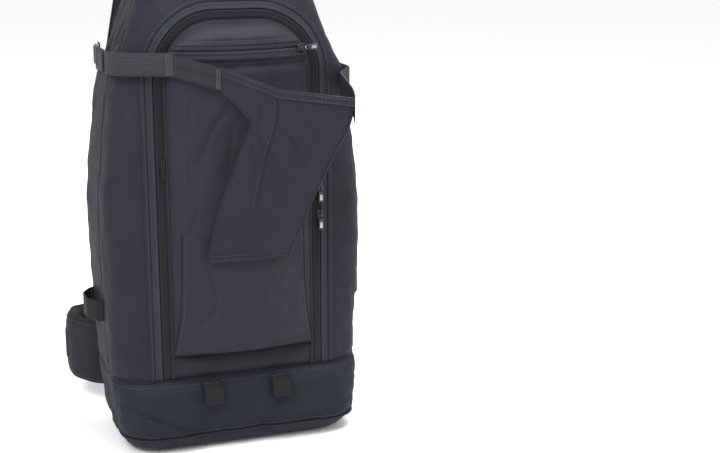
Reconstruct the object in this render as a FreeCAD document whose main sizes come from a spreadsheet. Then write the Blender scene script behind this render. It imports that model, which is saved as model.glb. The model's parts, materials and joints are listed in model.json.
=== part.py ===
"""Ski backpack with a front-opening panel, a helmet flap and a full harness.

Frame: millimetres, +Z up, +X to the right of someone facing the front panel, -Y towards that
person and +Y towards the wearer's back. The origin is the centre of the flat base.
"""

import FreeCAD, Part  # noqa: E401  FreeCAD has to be imported before Part
import math
import os
from types import SimpleNamespace

import Sketcher

os.makedirs("parts", exist_ok=True)
doc = FreeCAD.newDocument("ski_backpack")
sheet = doc.addObject("Spreadsheet::Sheet", "dims")

# ---------------------------------------------------------------- driving dimensions, mm
DIMENSIONS = [
    # shell: heights and half widths, from the base up
    ("base_thickness", 20.0), ("pouch_top", 78.0), ("seam_height", 88.0), ("waist_height", 260.0),
    ("shoulder_height", 425.0), ("brow_height", 470.0), ("arch_height", 512.0), ("crown_height", 556.0),
    ("pack_height", 584.0), ("foot_half", 118.0), ("base_half", 146.0), ("waist_half", 148.0),
    ("shoulder_half", 134.0), ("brow_half", 122.0), ("arch_half", 116.0), ("crown_half", 100.0),
    ("cap_half", 72.0),
    ("front_depth", 80.0), ("pouch_depth", 92.0), ("back_depth", 75.0), ("wall", 4.0), ("corner", 42.0),
    # front panel and its horseshoe zip
    ("zip_half", 94.0), ("zip_top", 503.0), ("arch_corner", 70.0), ("tape_width", 11.0), ("tape_thick", 1.1),
    ("panel_half", 82.0), ("panel_bottom", 116.0), ("panel_edge_depth", 92.0), ("panel_crown_depth", 112.0),
    ("panel_skin", 3.0),
    # pocket zip across the front panel
    ("pocket_zip_height", 462.0), ("pocket_tape_width", 8.0), ("pocket_zip_angle", 25.5),
    ("slider_angle", 23.0),
    # helmet flap and its straps
    ("flap_seam_height", 230.0), ("flap_hem_height", 426.0), ("flap_thick", 1.6), ("webbing_width", 25.0),
    ("left_strap_height", 436.0), ("right_strap_height", 408.0), ("hook_standoff", 4.0),
    # harness
    ("strap_width", 58.0), ("strap_thick", 10.0), ("strap_spread", 64.0), ("strap_tilt", 8.0),
    ("narrow_webbing", 20.0), ("hip_wing_height", 82.0), ("hip_wing_bottom", 30.0), ("hip_wing_thick", 13.0),
    ("hip_webbing", 36.0), ("stay_width", 12.0), ("stay_thick", 3.0), ("frame_sheet_thick", 2.0),
    ("sternum_height", 352.7), ("sternum_depth", 178.0), ("hip_buckle_depth", 266.0),
    ("hip_buckle_height", 71.0),
]


class Size:
    """A length with the text of the spreadsheet expression that gives it."""

    def __init__(self, value, text):
        self.value, self.text = float(value), text

    def _join(self, other, sign, value, swap=False):
        mine, theirs = self.text, other.text if isinstance(other, Size) else repr(float(other))
        left, right = (theirs, mine) if swap else (mine, theirs)
        return Size(value, f"({left} {sign} {right})")

    def __add__(self, other):
        return self._join(other, "+", self.value + number(other))

    def __radd__(self, other):
        return self._join(other, "+", number(other) + self.value, swap=True)

    def __sub__(self, other):
        return self._join(other, "-", self.value - number(other))

    def __rsub__(self, other):
        return self._join(other, "-", number(other) - self.value, swap=True)

    def __mul__(self, other):
        return self._join(other, "*", self.value * number(other))

    def __rmul__(self, other):
        return self._join(other, "*", number(other) * self.value, swap=True)

    def __neg__(self):
        return Size(-self.value, f"(-1 * {self.text})")


def number(size):
    return size.value if isinstance(size, Size) else float(size)


def ordered(one, other):
    """The two sizes, the smaller first."""
    return sorted((one, other), key=number)


def fill_sheet():
    """Writes the driving dimensions to the sheet and returns them as Sizes."""
    sizes = {}
    for row, (alias, value) in enumerate(DIMENSIONS, start=1):
        sheet.set(f"A{row}", alias)
        sheet.set(f"B{row}", str(value))
        sheet.setAlias(f"B{row}", alias)
        sizes[alias] = Size(value, f"dims.{alias}")
    doc.recompute()
    return SimpleNamespace(**sizes)


d = fill_sheet()
SIDES = (("left", -1), ("right", 1))
NODES = []  # the document objects that are written out, one file each
PLANES = {"XY": "XY_Plane", "XZ": "XZ_Plane", "YZ": "YZ_Plane"}


# ---------------------------------------------------------------- sketches
def bind(target, path, size):
    """Sets a numeric property from a Size by expression, or leaves a plain number in place."""
    if isinstance(size, Size):
        target.setExpression(path, size.text)


def new_body(label):
    body = doc.addObject("PartDesign::Body", label)
    body.Label = label
    return body


def keep(item):
    NODES.append(item)
    return item


def new_sketch(body, plane, offset):
    """A sketch on one of the body's origin planes, moved along world +X, +Y or +Z by offset."""
    sketch = body.newObject("Sketcher::SketchObject", body.Label + "_outline")
    origin = next(o for o in body.Origin.OriginFeatures if o.Role == PLANES[plane])
    sketch.AttachmentSupport = [(origin, "")]
    sketch.MapMode = "FlatFace"
    along = -offset if plane == "XZ" else offset  # the XZ plane's normal is -Y
    sketch.AttachmentOffset = FreeCAD.Placement(FreeCAD.Vector(0, 0, number(along)), FreeCAD.Rotation())
    bind(sketch, "AttachmentOffset.Base.z", along)
    return sketch


def pin_point(sketch, geometry, position, corner):
    """Holds a point at a corner's coordinates, bound to the sheet."""
    for kind, size in zip(("DistanceX", "DistanceY"), corner):
        index = sketch.addConstraint(Sketcher.Constraint(kind, -1, 1, geometry, position, number(size)))
        bind(sketch, f"Constraints[{index}]", size)


def corner_arc(before, at, after, radius):
    """The tangent arc that rounds a corner: (end of the first run, start of the next, arc, turns left)."""
    one, two = (before - at).normalize(), (after - at).normalize()
    half = one.getAngle(two) / 2
    first, second = at + one * (radius / math.tan(half)), at + two * (radius / math.tan(half))
    centre = at + (one + two).normalize() * (radius / math.sin(half))
    left = (at - before).cross(after - at).z > 0
    start, end = (first, second) if left else (second, first)
    angles = [math.atan2(p.y - centre.y, p.x - centre.x) for p in (start, end)]
    circle = Part.Circle(centre, FreeCAD.Vector(0, 0, 1), radius)
    return first, second, Part.ArcOfCircle(circle, angles[0], angles[1]), left


def outline(body, plane, offset, corners, radii):
    """A closed outline of straight runs, with each corner rounded to its radius, or sharp at radius 0."""
    sketch = new_sketch(body, plane, offset)
    points = [FreeCAD.Vector(number(u), number(v), 0) for u, v in corners]
    count = len(points)
    arcs = {}
    starts, ends = list(points), [points[(i + 1) % count] for i in range(count)]
    for i in range(count):
        if number(radii[i]) > 0:
            found = corner_arc(points[i - 1], points[i], points[(i + 1) % count], number(radii[i]))
            ends[i - 1], starts[i] = found[0], found[1]
            arcs[i] = found[2:]
    lines = [sketch.addGeometry(Part.LineSegment(a, b), False) for a, b in zip(starts, ends)]
    for i in range(count):
        before, after = lines[i - 1], lines[i]
        if i not in arcs:
            sketch.addConstraint(Sketcher.Constraint("Coincident", before, 2, after, 1))
            pin_point(sketch, after, 1, corners[i])
            continue
        arc, left = arcs[i]
        index = sketch.addGeometry(arc, False)
        first, last = (1, 2) if left else (2, 1)
        sketch.addConstraint(Sketcher.Constraint("Tangent", before, 2, index, first))
        sketch.addConstraint(Sketcher.Constraint("Tangent", index, last, after, 1))
        marker = sketch.addGeometry(Part.Point(points[i]), True)
        pin_point(sketch, marker, 1, corners[i])
        sketch.addConstraint(Sketcher.Constraint("PointOnObject", marker, 1, before))
        sketch.addConstraint(Sketcher.Constraint("PointOnObject", marker, 1, after))
        number_of = sketch.addConstraint(Sketcher.Constraint("Radius", index, number(radii[i])))
        bind(sketch, f"Constraints[{number_of}]", radii[i])
    return sketch


def disc(body, plane, offset, centre, radius):
    sketch = new_sketch(body, plane, offset)
    middle = FreeCAD.Vector(number(centre[0]), number(centre[1]), 0)
    index = sketch.addGeometry(Part.Circle(middle, FreeCAD.Vector(0, 0, 1), number(radius)), False)
    pin_point(sketch, index, 3, centre)
    number_of = sketch.addConstraint(Sketcher.Constraint("Radius", index, number(radius)))
    bind(sketch, f"Constraints[{number_of}]", radius)
    return sketch


# ---------------------------------------------------------------- solid features
def pad(body, sketch, length):
    feature = body.newObject("PartDesign::Pad", body.Label + "_pad")
    feature.Profile = sketch
    feature.Length = number(length)
    bind(feature, "Length", length)
    return feature


def prism(body, plane, corners, radii, start, end):
    """A pad of the outline from start to end along the plane's world axis."""
    offset = end if plane == "XZ" else start
    return pad(body, outline(body, plane, offset, corners, radii), end - start)


def cut(body, sketch, length):
    """A pocket of the sketch. It has to take material away."""
    doc.recompute()
    before = body.Shape.Volume
    feature = body.newObject("PartDesign::Pocket", body.Label + "_pocket")
    feature.Profile = sketch
    feature.Length = number(length)
    bind(feature, "Length", length)
    doc.recompute()
    if not body.Shape.Volume < before - 0.01:
        raise RuntimeError(f"a pocket in {body.Label} removed nothing")
    return feature


def cut_prism(body, plane, corners, radii, start, end):
    """A pocket of the outline between start and end along the plane's world axis."""
    offset = start if plane == "XZ" else end
    return cut(body, outline(body, plane, offset, corners, radii), end - start)


def round_edges(body, feature, chosen, radius):
    """Fillets the edges of the body's current shape that chosen(edge) accepts."""
    doc.recompute()
    names = [f"Edge{i}" for i, edge in enumerate(feature.Shape.Edges, start=1) if chosen(edge)]
    fillet = body.newObject("PartDesign::Fillet", body.Label + "_fillet")
    fillet.Base = (feature, names)
    fillet.Radius = number(radius)
    bind(fillet, "Radius", radius)
    return fillet


def box_corners(u0, u1, v0, v1):
    return [(u0, v0), (u1, v0), (u1, v1), (u0, v1)]


def block(label, x, y, z, rounding=0):
    """A box between three pairs of limits, with every edge rounded when rounding is over 0."""
    body = new_body(label)
    feature = prism(body, "XY", box_corners(x[0], x[1], y[0], y[1]), [0] * 4, z[0], z[1])
    if rounding:
        round_edges(body, feature, lambda edge: True, rounding)
    return body


def strip_outline(path, radii, thickness):
    """The closed outline of a strip of even thickness along a path of straight runs and tangent arcs."""
    points = [FreeCAD.Vector(number(u), number(v), 0) for u, v in path]
    runs = [(b - a).normalize() for a, b in zip(points, points[1:])]
    sides = {1: [], -1: []}
    for i, point in enumerate(points):
        into, out = runs[max(i - 1, 0)], runs[min(i, len(runs) - 1)]
        normals = [FreeCAD.Vector(-run.y, run.x, 0) for run in (into, out)]
        mitre = (normals[0] + normals[1]) * (1 / (1 + normals[0].dot(normals[1])))
        turn = into.cross(out).z
        for side, found in sides.items():
            place = point + mitre * (side * thickness / 2)
            shift = -side * thickness / 2 if turn > 0 else side * thickness / 2
            found.append(((place.x, place.y), radii[i] + shift if radii[i] else 0))
    around = sides[1] + sides[-1][::-1]
    return [corner for corner, _ in around], [radius for _, radius in around]


def strip(label, plane, path, radii, thickness, start, end):
    """A strap, band or pad of even thickness, padded between start and end."""
    body = new_body(label)
    corners, rounded = strip_outline(path, radii, number(thickness))
    prism(body, plane, corners, rounded, start, end)
    return body


def loft(body, kind, sketches):
    feature = body.newObject("PartDesign::" + kind, body.Label + "_loft")
    feature.Profile = sketches[0]
    feature.Sections = sketches[1:]
    feature.Ruled = True
    return feature


def level(body, height, half, front, back, radius):
    """One horizontal section of the shell: a rectangle with round corners."""
    return outline(body, "XY", height, box_corners(-half, half, front, back), [radius] * 4)


def place(body, angle, axis, centre):
    """Turns a finished body about an axis through a point."""
    turn = FreeCAD.Rotation(FreeCAD.Vector(*axis), angle)
    middle = FreeCAD.Vector(*centre)
    body.Placement = FreeCAD.Placement(middle - turn.multVec(middle), turn)
    return body


# ---------------------------------------------------------------- shell
def base_panel():
    """The padded base that the pack stands on."""
    body = new_body("base_panel")
    front, back = -d.front_depth, d.back_depth
    levels = [
        level(body, 0, d.foot_half, front + 14, back - 15, 30),
        level(body, 6, d.foot_half + 12, front + 2, back - 6, 36),
        level(body, d.base_thickness, d.foot_half + 19, front - 7, back - 3, 38),
    ]
    loft(body, "AdditiveLoft", levels)
    return keep(body)


def shell_levels(body, inset):
    """The shell's sections from the base to the crown, drawn inwards by inset for its inside."""
    front, back = -d.front_depth, d.back_depth
    r = d.corner
    floor = d.base_thickness + 0.3
    rows = [
        (floor, d.foot_half + 19, front - 7, back - 3, r - 4),
        (36, d.base_half - 3, -d.pouch_depth, back, r + 2),
        (d.pouch_top, d.base_half, -d.pouch_depth, back, r + 2),
        (d.seam_height, d.base_half, front, back, r),
        (d.waist_height, d.waist_half, front, back, r),
        (d.shoulder_height, d.shoulder_half, front, back, r - 4),
        (d.brow_height, d.brow_half, front, back, r - 6),
        (d.arch_height, d.arch_half, front, back, r - 6),
        (d.crown_height, d.crown_half, front + 28, back - 3, r - 10),
        (d.pack_height, d.cap_half, front + 54, back - 15, r - 16),
    ]
    last = len(rows) - 1
    sketches = []
    for i, (height, half, y0, y1, radius) in enumerate(rows):
        if inset:
            height = height + inset if i == 0 else height - inset if i == last else height
            half, y0, y1, radius = half - inset, y0 + inset, y1 - inset, radius - inset
        sketches.append(level(body, height, half, y0, y1, radius))
    return sketches


def horseshoe(grow, bottom):
    """Corners and radii of the zip line's arch, made larger or smaller by grow."""
    half, top = d.zip_half + grow, d.zip_top + grow
    return box_corners(-half, half, bottom, top), [0, 0, d.arch_corner + grow, d.arch_corner + grow]


def main_shell():
    """Sides, back, top and front rim: a hollow shell with the panel's arch open at the front."""
    body = new_body("main_shell")
    loft(body, "AdditiveLoft", shell_levels(body, 0))
    loft(body, "SubtractiveLoft", shell_levels(body, d.wall))
    corners, radii = horseshoe(1.5, d.seam_height)
    cut_prism(body, "XZ", corners, radii, -d.front_depth - 20, -d.front_depth + 20)
    return keep(body)


def arch_ring(label, outer, inner, open_from):
    """A flat band that follows the arch between two offsets from the zip line."""
    body = new_body(label)
    face = -d.front_depth - 0.2
    corners, radii = horseshoe(outer, d.seam_height + 2)
    prism(body, "XZ", corners, radii, face - d.tape_thick, face)
    corners, radii = horseshoe(inner, open_from)
    cut_prism(body, "XZ", corners, radii, face - d.tape_thick - 1, face + 1)
    return keep(body)


def main_zip():
    """The zip's two tapes: one sewn to the shell, the other, with a hem below, to the front panel."""
    arch_ring("main_zip_tape_outer", d.tape_width, 0.3, d.seam_height - 10)
    arch_ring("main_zip_tape_inner", -0.3, d.panel_half - d.zip_half + 0.5, d.panel_bottom - 0.5)


# ---------------------------------------------------------------- front panel and pocket zip
def front_radius():
    """Radius, seen from above, of the panel's crowned front."""
    half = d.panel_half.value
    rise = d.panel_crown_depth.value - d.panel_edge_depth.value
    return (half**2 + rise**2) / (2 * rise)


FRONT_RADIUS = front_radius()
FRONT_CENTRE_Y = FRONT_RADIUS - d.panel_crown_depth.value


def crowned_plan(body, height, half, crown_y, rear_y, radius):
    """Plan outline with a straight rear, straight sides and an arc in front."""
    sketch = new_sketch(body, "XY", height)
    half, crown_y, rear_y, radius = number(half), number(crown_y), number(rear_y), number(radius)
    side_y = crown_y + radius - math.sqrt(radius**2 - half**2)
    across = ((-half, side_y), (half, side_y), (half, rear_y), (-half, rear_y))
    corners = [FreeCAD.Vector(x, y, 0) for x, y in across]
    sketch.addGeometry(Part.Arc(corners[0], FreeCAD.Vector(0, crown_y, 0), corners[1]), False)
    for i in range(3):
        sketch.addGeometry(Part.LineSegment(corners[i + 1], corners[(i + 2) % 4]), False)
    for index in range(4):
        sketch.addConstraint(Sketcher.Constraint("Block", index))
    return sketch


def panel_body(label, inset, rear_y):
    """The panel's crowned block, trimmed to the arch."""
    body = new_body(label)
    margin = d.zip_half - d.panel_half
    bottom, top = d.panel_bottom + inset, d.zip_top - margin - inset
    half, arch = d.panel_half - inset, d.arch_corner - margin - inset
    plan = crowned_plan(body, bottom, half, inset - d.panel_crown_depth, rear_y, FRONT_RADIUS - inset)
    pad(body, plan, top - bottom)
    for side in (-1, 1):
        # a square corner piece less its quarter round is what the arch leaves out
        inner = side * (half - arch)
        corners = [(inner, top + 1), (side * (half + 1), top + 1), (side * (half + 1), top - arch)]
        trim = new_sketch(body, "XZ", -d.panel_crown_depth - 5)
        middle = FreeCAD.Vector(number(inner), number(top - arch), 0)
        reach = number(arch)
        angles = (0, math.pi / 2) if side > 0 else (math.pi / 2, math.pi)
        circle = Part.Circle(middle, FreeCAD.Vector(0, 0, 1), reach)
        start = middle + FreeCAD.Vector(side * reach, 0, 0)
        end = middle + FreeCAD.Vector(0, reach, 0)
        far = [FreeCAD.Vector(number(u), number(v), 0) for u, v in corners]
        run = [end, *far, start]
        shapes = [Part.ArcOfCircle(circle, *angles)] + [Part.LineSegment(a, b) for a, b in zip(run, run[1:])]
        for shape in shapes:
            trim.addConstraint(Sketcher.Constraint("Block", trim.addGeometry(shape, False)))
        cut(body, trim, 60)
    return body


def front_panel():
    """The panel's outer skin: a crowned tray, open at the rear, with a lining that closes it."""
    rear = -d.front_depth - 0.2
    outer = panel_body("front_panel_outer", 0, rear)
    inner = panel_body("front_panel_hollow", d.panel_skin, rear + 5)
    doc.recompute()
    skin = doc.addObject("Part::Cut", "front_panel")
    skin.Label = "front_panel"
    skin.Base, skin.Tool = outer, inner
    keep(skin)
    lining = new_body("front_panel_lining")
    half, top = d.panel_half - 3.5, d.zip_top - (d.zip_half - d.panel_half) - 3.5
    rounded = d.arch_corner - (d.zip_half - d.panel_half) - 3.5
    corners = box_corners(-half, half, d.panel_bottom + 3.5, top)
    prism(lining, "XZ", corners, [0, 0, rounded, rounded], rear - 1.5, rear - 0.2)
    keep(lining)


def front_arc_strip(label, lift, thickness, angle, z0, z1):
    """A strip that follows the panel's crowned front, standing off it by lift."""
    body = new_body(label)
    sketch = new_sketch(body, "XY", z0)
    centre = FreeCAD.Vector(0, FRONT_CENTRE_Y, 0)
    reach = math.radians(number(angle))
    rings = [FRONT_RADIUS + lift, FRONT_RADIUS + lift + thickness]
    down = -math.pi / 2
    ways = [FreeCAD.Vector(math.cos(down + t), math.sin(down + t), 0) for t in (-reach, reach)]
    ends = [[centre + way * r for way in ways] for r in rings]
    circles = [Part.Circle(centre, FreeCAD.Vector(0, 0, 1), r) for r in rings]
    shapes = [Part.ArcOfCircle(circle, down - reach, down + reach) for circle in circles]
    shapes += [Part.LineSegment(ends[0][k], ends[1][k]) for k in (0, 1)]
    for shape in shapes:
        sketch.addConstraint(Sketcher.Constraint("Block", sketch.addGeometry(shape, False)))
    pad(body, sketch, z1 - z0)
    return keep(body)


def pocket_zip():
    height, width = d.pocket_zip_height, d.pocket_tape_width
    front_arc_strip("pocket_zip_tape_upper", 0.3, 1.0, d.pocket_zip_angle, height + 0.8, height + width)
    front_arc_strip("pocket_zip_tape_lower", 0.3, 1.0, d.pocket_zip_angle, height - width, height - 0.8)


# ---------------------------------------------------------------- zip sliders
SLIDER = SimpleNamespace(long=10.0, wide=9.0, plate=2.0, hole=0.9,
                         bridge_long=6.0, bridge_wide=2.4, bridge_high=3.4)
PULLER = SimpleNamespace(pin=0.6, gap=2.2, arm=1.6, thick=1.2, long=18.0)


def slider_on(label, plane, across, along, face):
    """A slider at 'along' on its zip. plane is seen along the puller's pin, and face is its underside."""
    body = new_body(label)
    s = SLIDER
    plate = box_corners(along - s.long / 2, along + s.long / 2, face - s.plate, face)
    reach, top = s.bridge_long / 2, face - s.plate
    bridge = box_corners(along - reach, along + reach, top - s.bridge_high, top)
    turned = plane == "YZ"
    swap = (lambda pts: [(v, u) for u, v in pts]) if turned else (lambda pts: pts)
    prism(body, plane, swap(plate), [0] * 4, across - s.wide / 2, across + s.wide / 2)
    prism(body, plane, swap(bridge), [0] * 4, across - s.bridge_wide / 2, across + s.bridge_wide / 2)
    pin = (along, face - s.plate - s.bridge_high / 2 - 0.2)
    hole = disc(body, plane, across + s.wide, swap([pin])[0], s.hole)
    cut(body, hole, s.wide * 2)
    return body


def puller_on(label, plane, across, along, face, way):
    """A wire frame whose pin turns in the slider's bridge. way is +1 or -1 along the zip."""
    body = new_body(label)
    s, p = SLIDER, PULLER
    level_at = face - s.plate - s.bridge_high / 2 - 0.2
    turned = plane == "YZ"
    swap = (lambda pts: [(v, u) for u, v in pts]) if turned else (lambda pts: pts)
    pin = disc(body, plane, across - p.gap - p.arm, swap([(along, level_at)])[0], p.pin)
    pad(body, pin, 2 * (p.gap + p.arm))
    lo, hi = ordered(along - way * 0.9, along + way * p.long)
    arm = box_corners(lo, hi, level_at - p.thick / 2, level_at + p.thick / 2)
    for side in (-1, 1):
        start, end = ordered(across + side * p.gap, across + side * (p.gap + p.arm))
        prism(body, plane, swap(arm), [0] * 4, start, end)
    lo, hi = ordered(along + way * (p.long - 3), along + way * p.long)
    bar = box_corners(lo, hi, level_at - p.thick / 2, level_at + p.thick / 2)
    prism(body, plane, swap(bar), [0] * 4, across - p.gap - p.arm, across + p.gap + p.arm)
    return body


def pocket_slider():
    """The pocket zip's slider, parked at the right end of the zip."""
    face = -(d.panel_crown_depth + 2.0)
    centre = (0, FRONT_CENTRE_Y, 0)
    slider = slider_on("pocket_slider", "XY", d.pocket_zip_height, 0.0, face)
    puller = puller_on("pocket_puller", "XY", d.pocket_zip_height, 0.0, face, 1)
    for body in (slider, puller):
        keep(place(body, d.slider_angle.value, (0, 0, 1), centre))


MAIN_SLIDER_HEIGHTS = {"upper": 300.0, "lower": 268.0}


def main_sliders():
    """Two sliders on the right-hand run of the main zip, parked together."""
    face = -(d.front_depth + 1.8)
    for name, height in MAIN_SLIDER_HEIGHTS.items():
        keep(slider_on(f"main_slider_{name}", "YZ", d.zip_half, height, face))
        keep(puller_on(f"main_puller_{name}", "YZ", d.zip_half, height, face, -1))


# ---------------------------------------------------------------- helmet flap
FLAP_ROWS = [  # height above the seam, then the left edge, the fold and the right edge seen from above
    (0, (-46, -110.6), (0, -115.2), (46, -110.6)),
    (60, (-34, -120), (6, -128), (62, -139)),
    (125, (-14, -136), (14, -148), (80, -172)),
    (168, (-1.5, -150), (20, -167), (90.5, -199)),
    (196, (-1.5, -152), (20, -170), (92, -205)),
]


def helmet_flap():
    """A tongue of cloth, sewn to the panel at its lower edge, that stands out to hold a helmet."""
    body = new_body("helmet_flap")
    sections = []
    for rise, left, fold, right in FLAP_ROWS:
        corners, radii = strip_outline([left, fold, right], [0, 14, 0], d.flap_thick.value)
        sections.append(outline(body, "XY", d.flap_seam_height + rise, corners, radii))
    loft(body, "AdditiveLoft", sections)
    keep(body)


def cloth_link(label, plane, one, two):
    """A flat link between two upright edges, each given as (station, across, low, high)."""
    body = new_body(label)
    half = d.flap_thick * 0.5
    sections = []
    for station, across, low, high in (one, two):
        corners = box_corners(across - half, across + half, low, high)
        sections.append(outline(body, plane, station, corners, [0] * 4))
    loft(body, "AdditiveLoft", sections)
    return keep(body)


def flap_straps():
    """The flap's cloth arms, the webbing that carries them round the pack, and flat hooks at its ends."""
    width, hem = d.webbing_width, d.flap_hem_height
    low = {"left": d.left_strap_height, "right": d.right_strap_height}
    neck = d.left_strap_height - 13
    side = d.shoulder_half + d.hook_standoff
    cloth_link("flap_arm_left", "YZ", (-31.5, -129, neck, neck + width), (-2.2, -151.5, hem - 26, hem + 10))
    cloth_link("flap_link_left", "YZ", (-76.5, -99.5, low["left"], low["left"] + width),
               (-32, -128.6, neck, neck + width))
    cloth_link("flap_arm_right", "XZ", (-203.5, 93.4, hem - 32, hem - 3),
               (-152, 103.2, low["right"] - 6, low["right"] + width - 3))
    cloth_link("flap_link_right", "XZ", (-151.5, 103.3, low["right"] - 5, low["right"] + width - 3),
               (-99.5, 113.2, low["right"], low["right"] + width))
    paths = {
        "left": ([(-side, -8), (-side, -76), (-108, -87.5), (-77, -99)], [0, 34, 20, 0]),
        "right": ([(side, -8), (side, -62), (113.6, -98.5)], [0, 34, 0]),
    }
    for name, s in SIDES:
        path, radii = paths[name]
        keep(strip(f"flap_webbing_{name}", "XY", path, radii, 1.6, low[name], low[name] + width))
        hook = new_body(f"flap_hook_{name}")
        x0, x1 = ordered(s * (side - 1.1), s * (side + 1.1))
        z0, z1 = low[name], low[name] + width
        prism(hook, "YZ", box_corners(-7.5, 10, z0 - 2, z1 + 2), [3] * 4, x0, x1)
        for y0, y1 in ((-4.5, -1.5), (2, 6.5)):
            cut_prism(hook, "YZ", box_corners(y0, y1, z0 + 1, z1 - 1), [0] * 4, x0 - 1, x1 + 1)
        keep(hook)


# ---------------------------------------------------------------- loops on the outside
def webbing_loops():
    for name, s in SIDES:
        side = d.shoulder_half + d.hook_standoff
        x0, x1 = ordered(s * (side - 0.8), s * (side + 0.8))
        low = d.left_strap_height if s < 0 else d.right_strap_height
        keep(block(f"side_tab_{name}", (x0, x1), (10.6, 58), (low + 2.5, low + 22.5)))
        near, far = d.waist_half + 0.6, d.waist_half + 18
        loop = new_body(f"ski_loop_{name}")
        x0, x1 = ordered(s * near, s * far)
        prism(loop, "XY", box_corners(x0, x1, -30, 34), [6] * 4, 150, 175)
        x0, x1 = ordered(s * (near + 2), s * (far - 2))
        cut_prism(loop, "XY", box_corners(x0, x1, -28, 32), [4] * 4, 149, 176)
        keep(loop)
        gear = new_body(f"gear_loop_{name}")
        y1 = -d.pouch_depth - 0.4
        prism(gear, "YZ", box_corners(y1 - 11, y1, 58, 82), [3] * 4, s * 40 - 11, s * 40 + 11)
        cut_prism(gear, "YZ", box_corners(y1 - 9.2, y1 - 1.8, 60, 80), [1.5] * 4, s * 40 - 12, s * 40 + 12)
        keep(gear)
    path = [(-18, 518), (-18, 570), (18, 570), (18, 518)]
    keep(strip("haul_loop", "XZ", path, [0, 15, 15, 0], 9, d.back_depth + 1.4, d.back_depth + 7.4))


# ---------------------------------------------------------------- frame inside the back
def back_frame():
    back = d.back_depth - d.wall
    sheet_body = new_body("frame_sheet")
    corners = [(-96, 40), (96, 40), (96, 400), (76, 508), (-76, 508), (-96, 400)]
    prism(sheet_body, "XZ", corners, [12, 12, 0, 20, 20, 0], back - 0.8 - d.frame_sheet_thick, back - 0.8)
    keep(sheet_body)
    stay_back = back - 1.2 - d.frame_sheet_thick
    stays = []
    for name, s in SIDES:
        x0, x1 = s * 46 - d.stay_width * 0.5, s * 46 + d.stay_width * 0.5
        stays.append(block(f"stay_{name}", (x0, x1), (stay_back - d.stay_thick, stay_back), (50, 500)))
    group = doc.addObject("Part::Compound", "frame_stays")
    group.Label = "frame_stays"
    group.Links = stays
    keep(group)
    foam_back = stay_back - d.stay_thick - 0.4
    keep(block("back_foam", (-98, 98), (foam_back - 5, foam_back), (45, 490)))


def inner_sleeve():
    """A cloth sleeve inside the main compartment, in front of the back foam."""
    keep(block("inner_sleeve", (-84, 84), (54.5, 56.5), (44, 310)))


# ---------------------------------------------------------------- harness
def back_pads():
    back = d.back_depth + 0.4
    for name, s in SIDES:
        x0, x1 = ordered(s * 14.0, s * 92.0)
        keep(block(f"back_pad_{name}", (x0, x1), (back, back + 12.5), (126, 446), 5))
    keep(block("lumbar_pad", (-92, 92), (back, back + 18), (24, 116), 6))


STRAP_PATH = [(81.5, 458), (92, 530), (140, 514), (170, 402), (156, 284), (124, 227)]
STRAP_RADII = [0, 26, 34, 90, 110, 0]


def shoulder_straps():
    """Padded straps with their adjusters, lower webbing and load lifters, in one tilted plane each side."""
    half = d.strap_width * 0.5
    for name, s in SIDES:
        middle = s * d.strap_spread
        narrow = (middle - d.narrow_webbing * 0.5, middle + d.narrow_webbing * 0.5)
        strap = strip(f"shoulder_strap_{name}", "YZ", STRAP_PATH, STRAP_RADII, d.strap_thick,
                      middle - half, middle + half)
        lock = new_body(f"strap_lock_{name}")
        prism(lock, "YZ", box_corners(113, 122, 210, 223.5), [2] * 4, middle - 14, middle + 14)
        for z0 in (212.5, 218):
            cut_prism(lock, "YZ", box_corners(112, 123, z0, z0 + 3), [0] * 4, middle - 10.5, middle + 10.5)
        webbing = strip(f"strap_webbing_{name}", "YZ", [(117, 209.4), (79, 140)], [0, 0], 1.5, *narrow)
        lifter = strip(f"load_lifter_{name}", "YZ", [(76.4, 545), (116, 533)], [0, 0], 1.5, *narrow)
        for body in (strap, lock, webbing, lifter):
            keep(place(body, -s * d.strap_tilt.value, (0, 1, 0), (s * d.strap_spread.value, 0, 492)))


def sternum_strap():
    """Rails on the straps, clips that slide on them, webbing and a side-release buckle."""
    z, y = d.sternum_height, d.sternum_depth
    x_rail = 83.5
    slope = 0.118
    for name, s in SIDES:
        rail = [(173.46, 373.5), (165.2, 304.0)]
        keep(strip(f"sternum_rail_{name}", "YZ", rail, [0, 0], 2.2, s * x_rail - 3, s * x_rail + 3))
        clip = new_body(f"sternum_clip_{name}")
        near, lift = 172.4, slope * 8
        far = near + 6
        corners = [(near - lift, z - 8), (far - lift, z - 8), (far + lift, z + 8), (near + lift, z + 8)]
        prism(clip, "YZ", corners, [0] * 4, s * x_rail - 7, s * x_rail + 7)
        keep(clip)
    half = d.narrow_webbing * 0.5
    keep(block("sternum_webbing_left", (7.3 - x_rail, -17.0), (y - 0.7, y + 0.7), (z - half, z + half)))
    joggle = [(x_rail - 7.3, y - 2.0), (60, y - 5.6), (1, y - 5.6)]
    keep(strip("sternum_webbing_right", "XY", joggle, [0, 8, 0], 1.4, z - half, z + half))
    sizes = SimpleNamespace(half_high=13.0, half_thick=4.0, wall=1.5, socket=11.0, housing=16.0,
                            base=9.0, prong=4.0, out=13.0)
    side_release("sternum", y, z, sizes)


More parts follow.
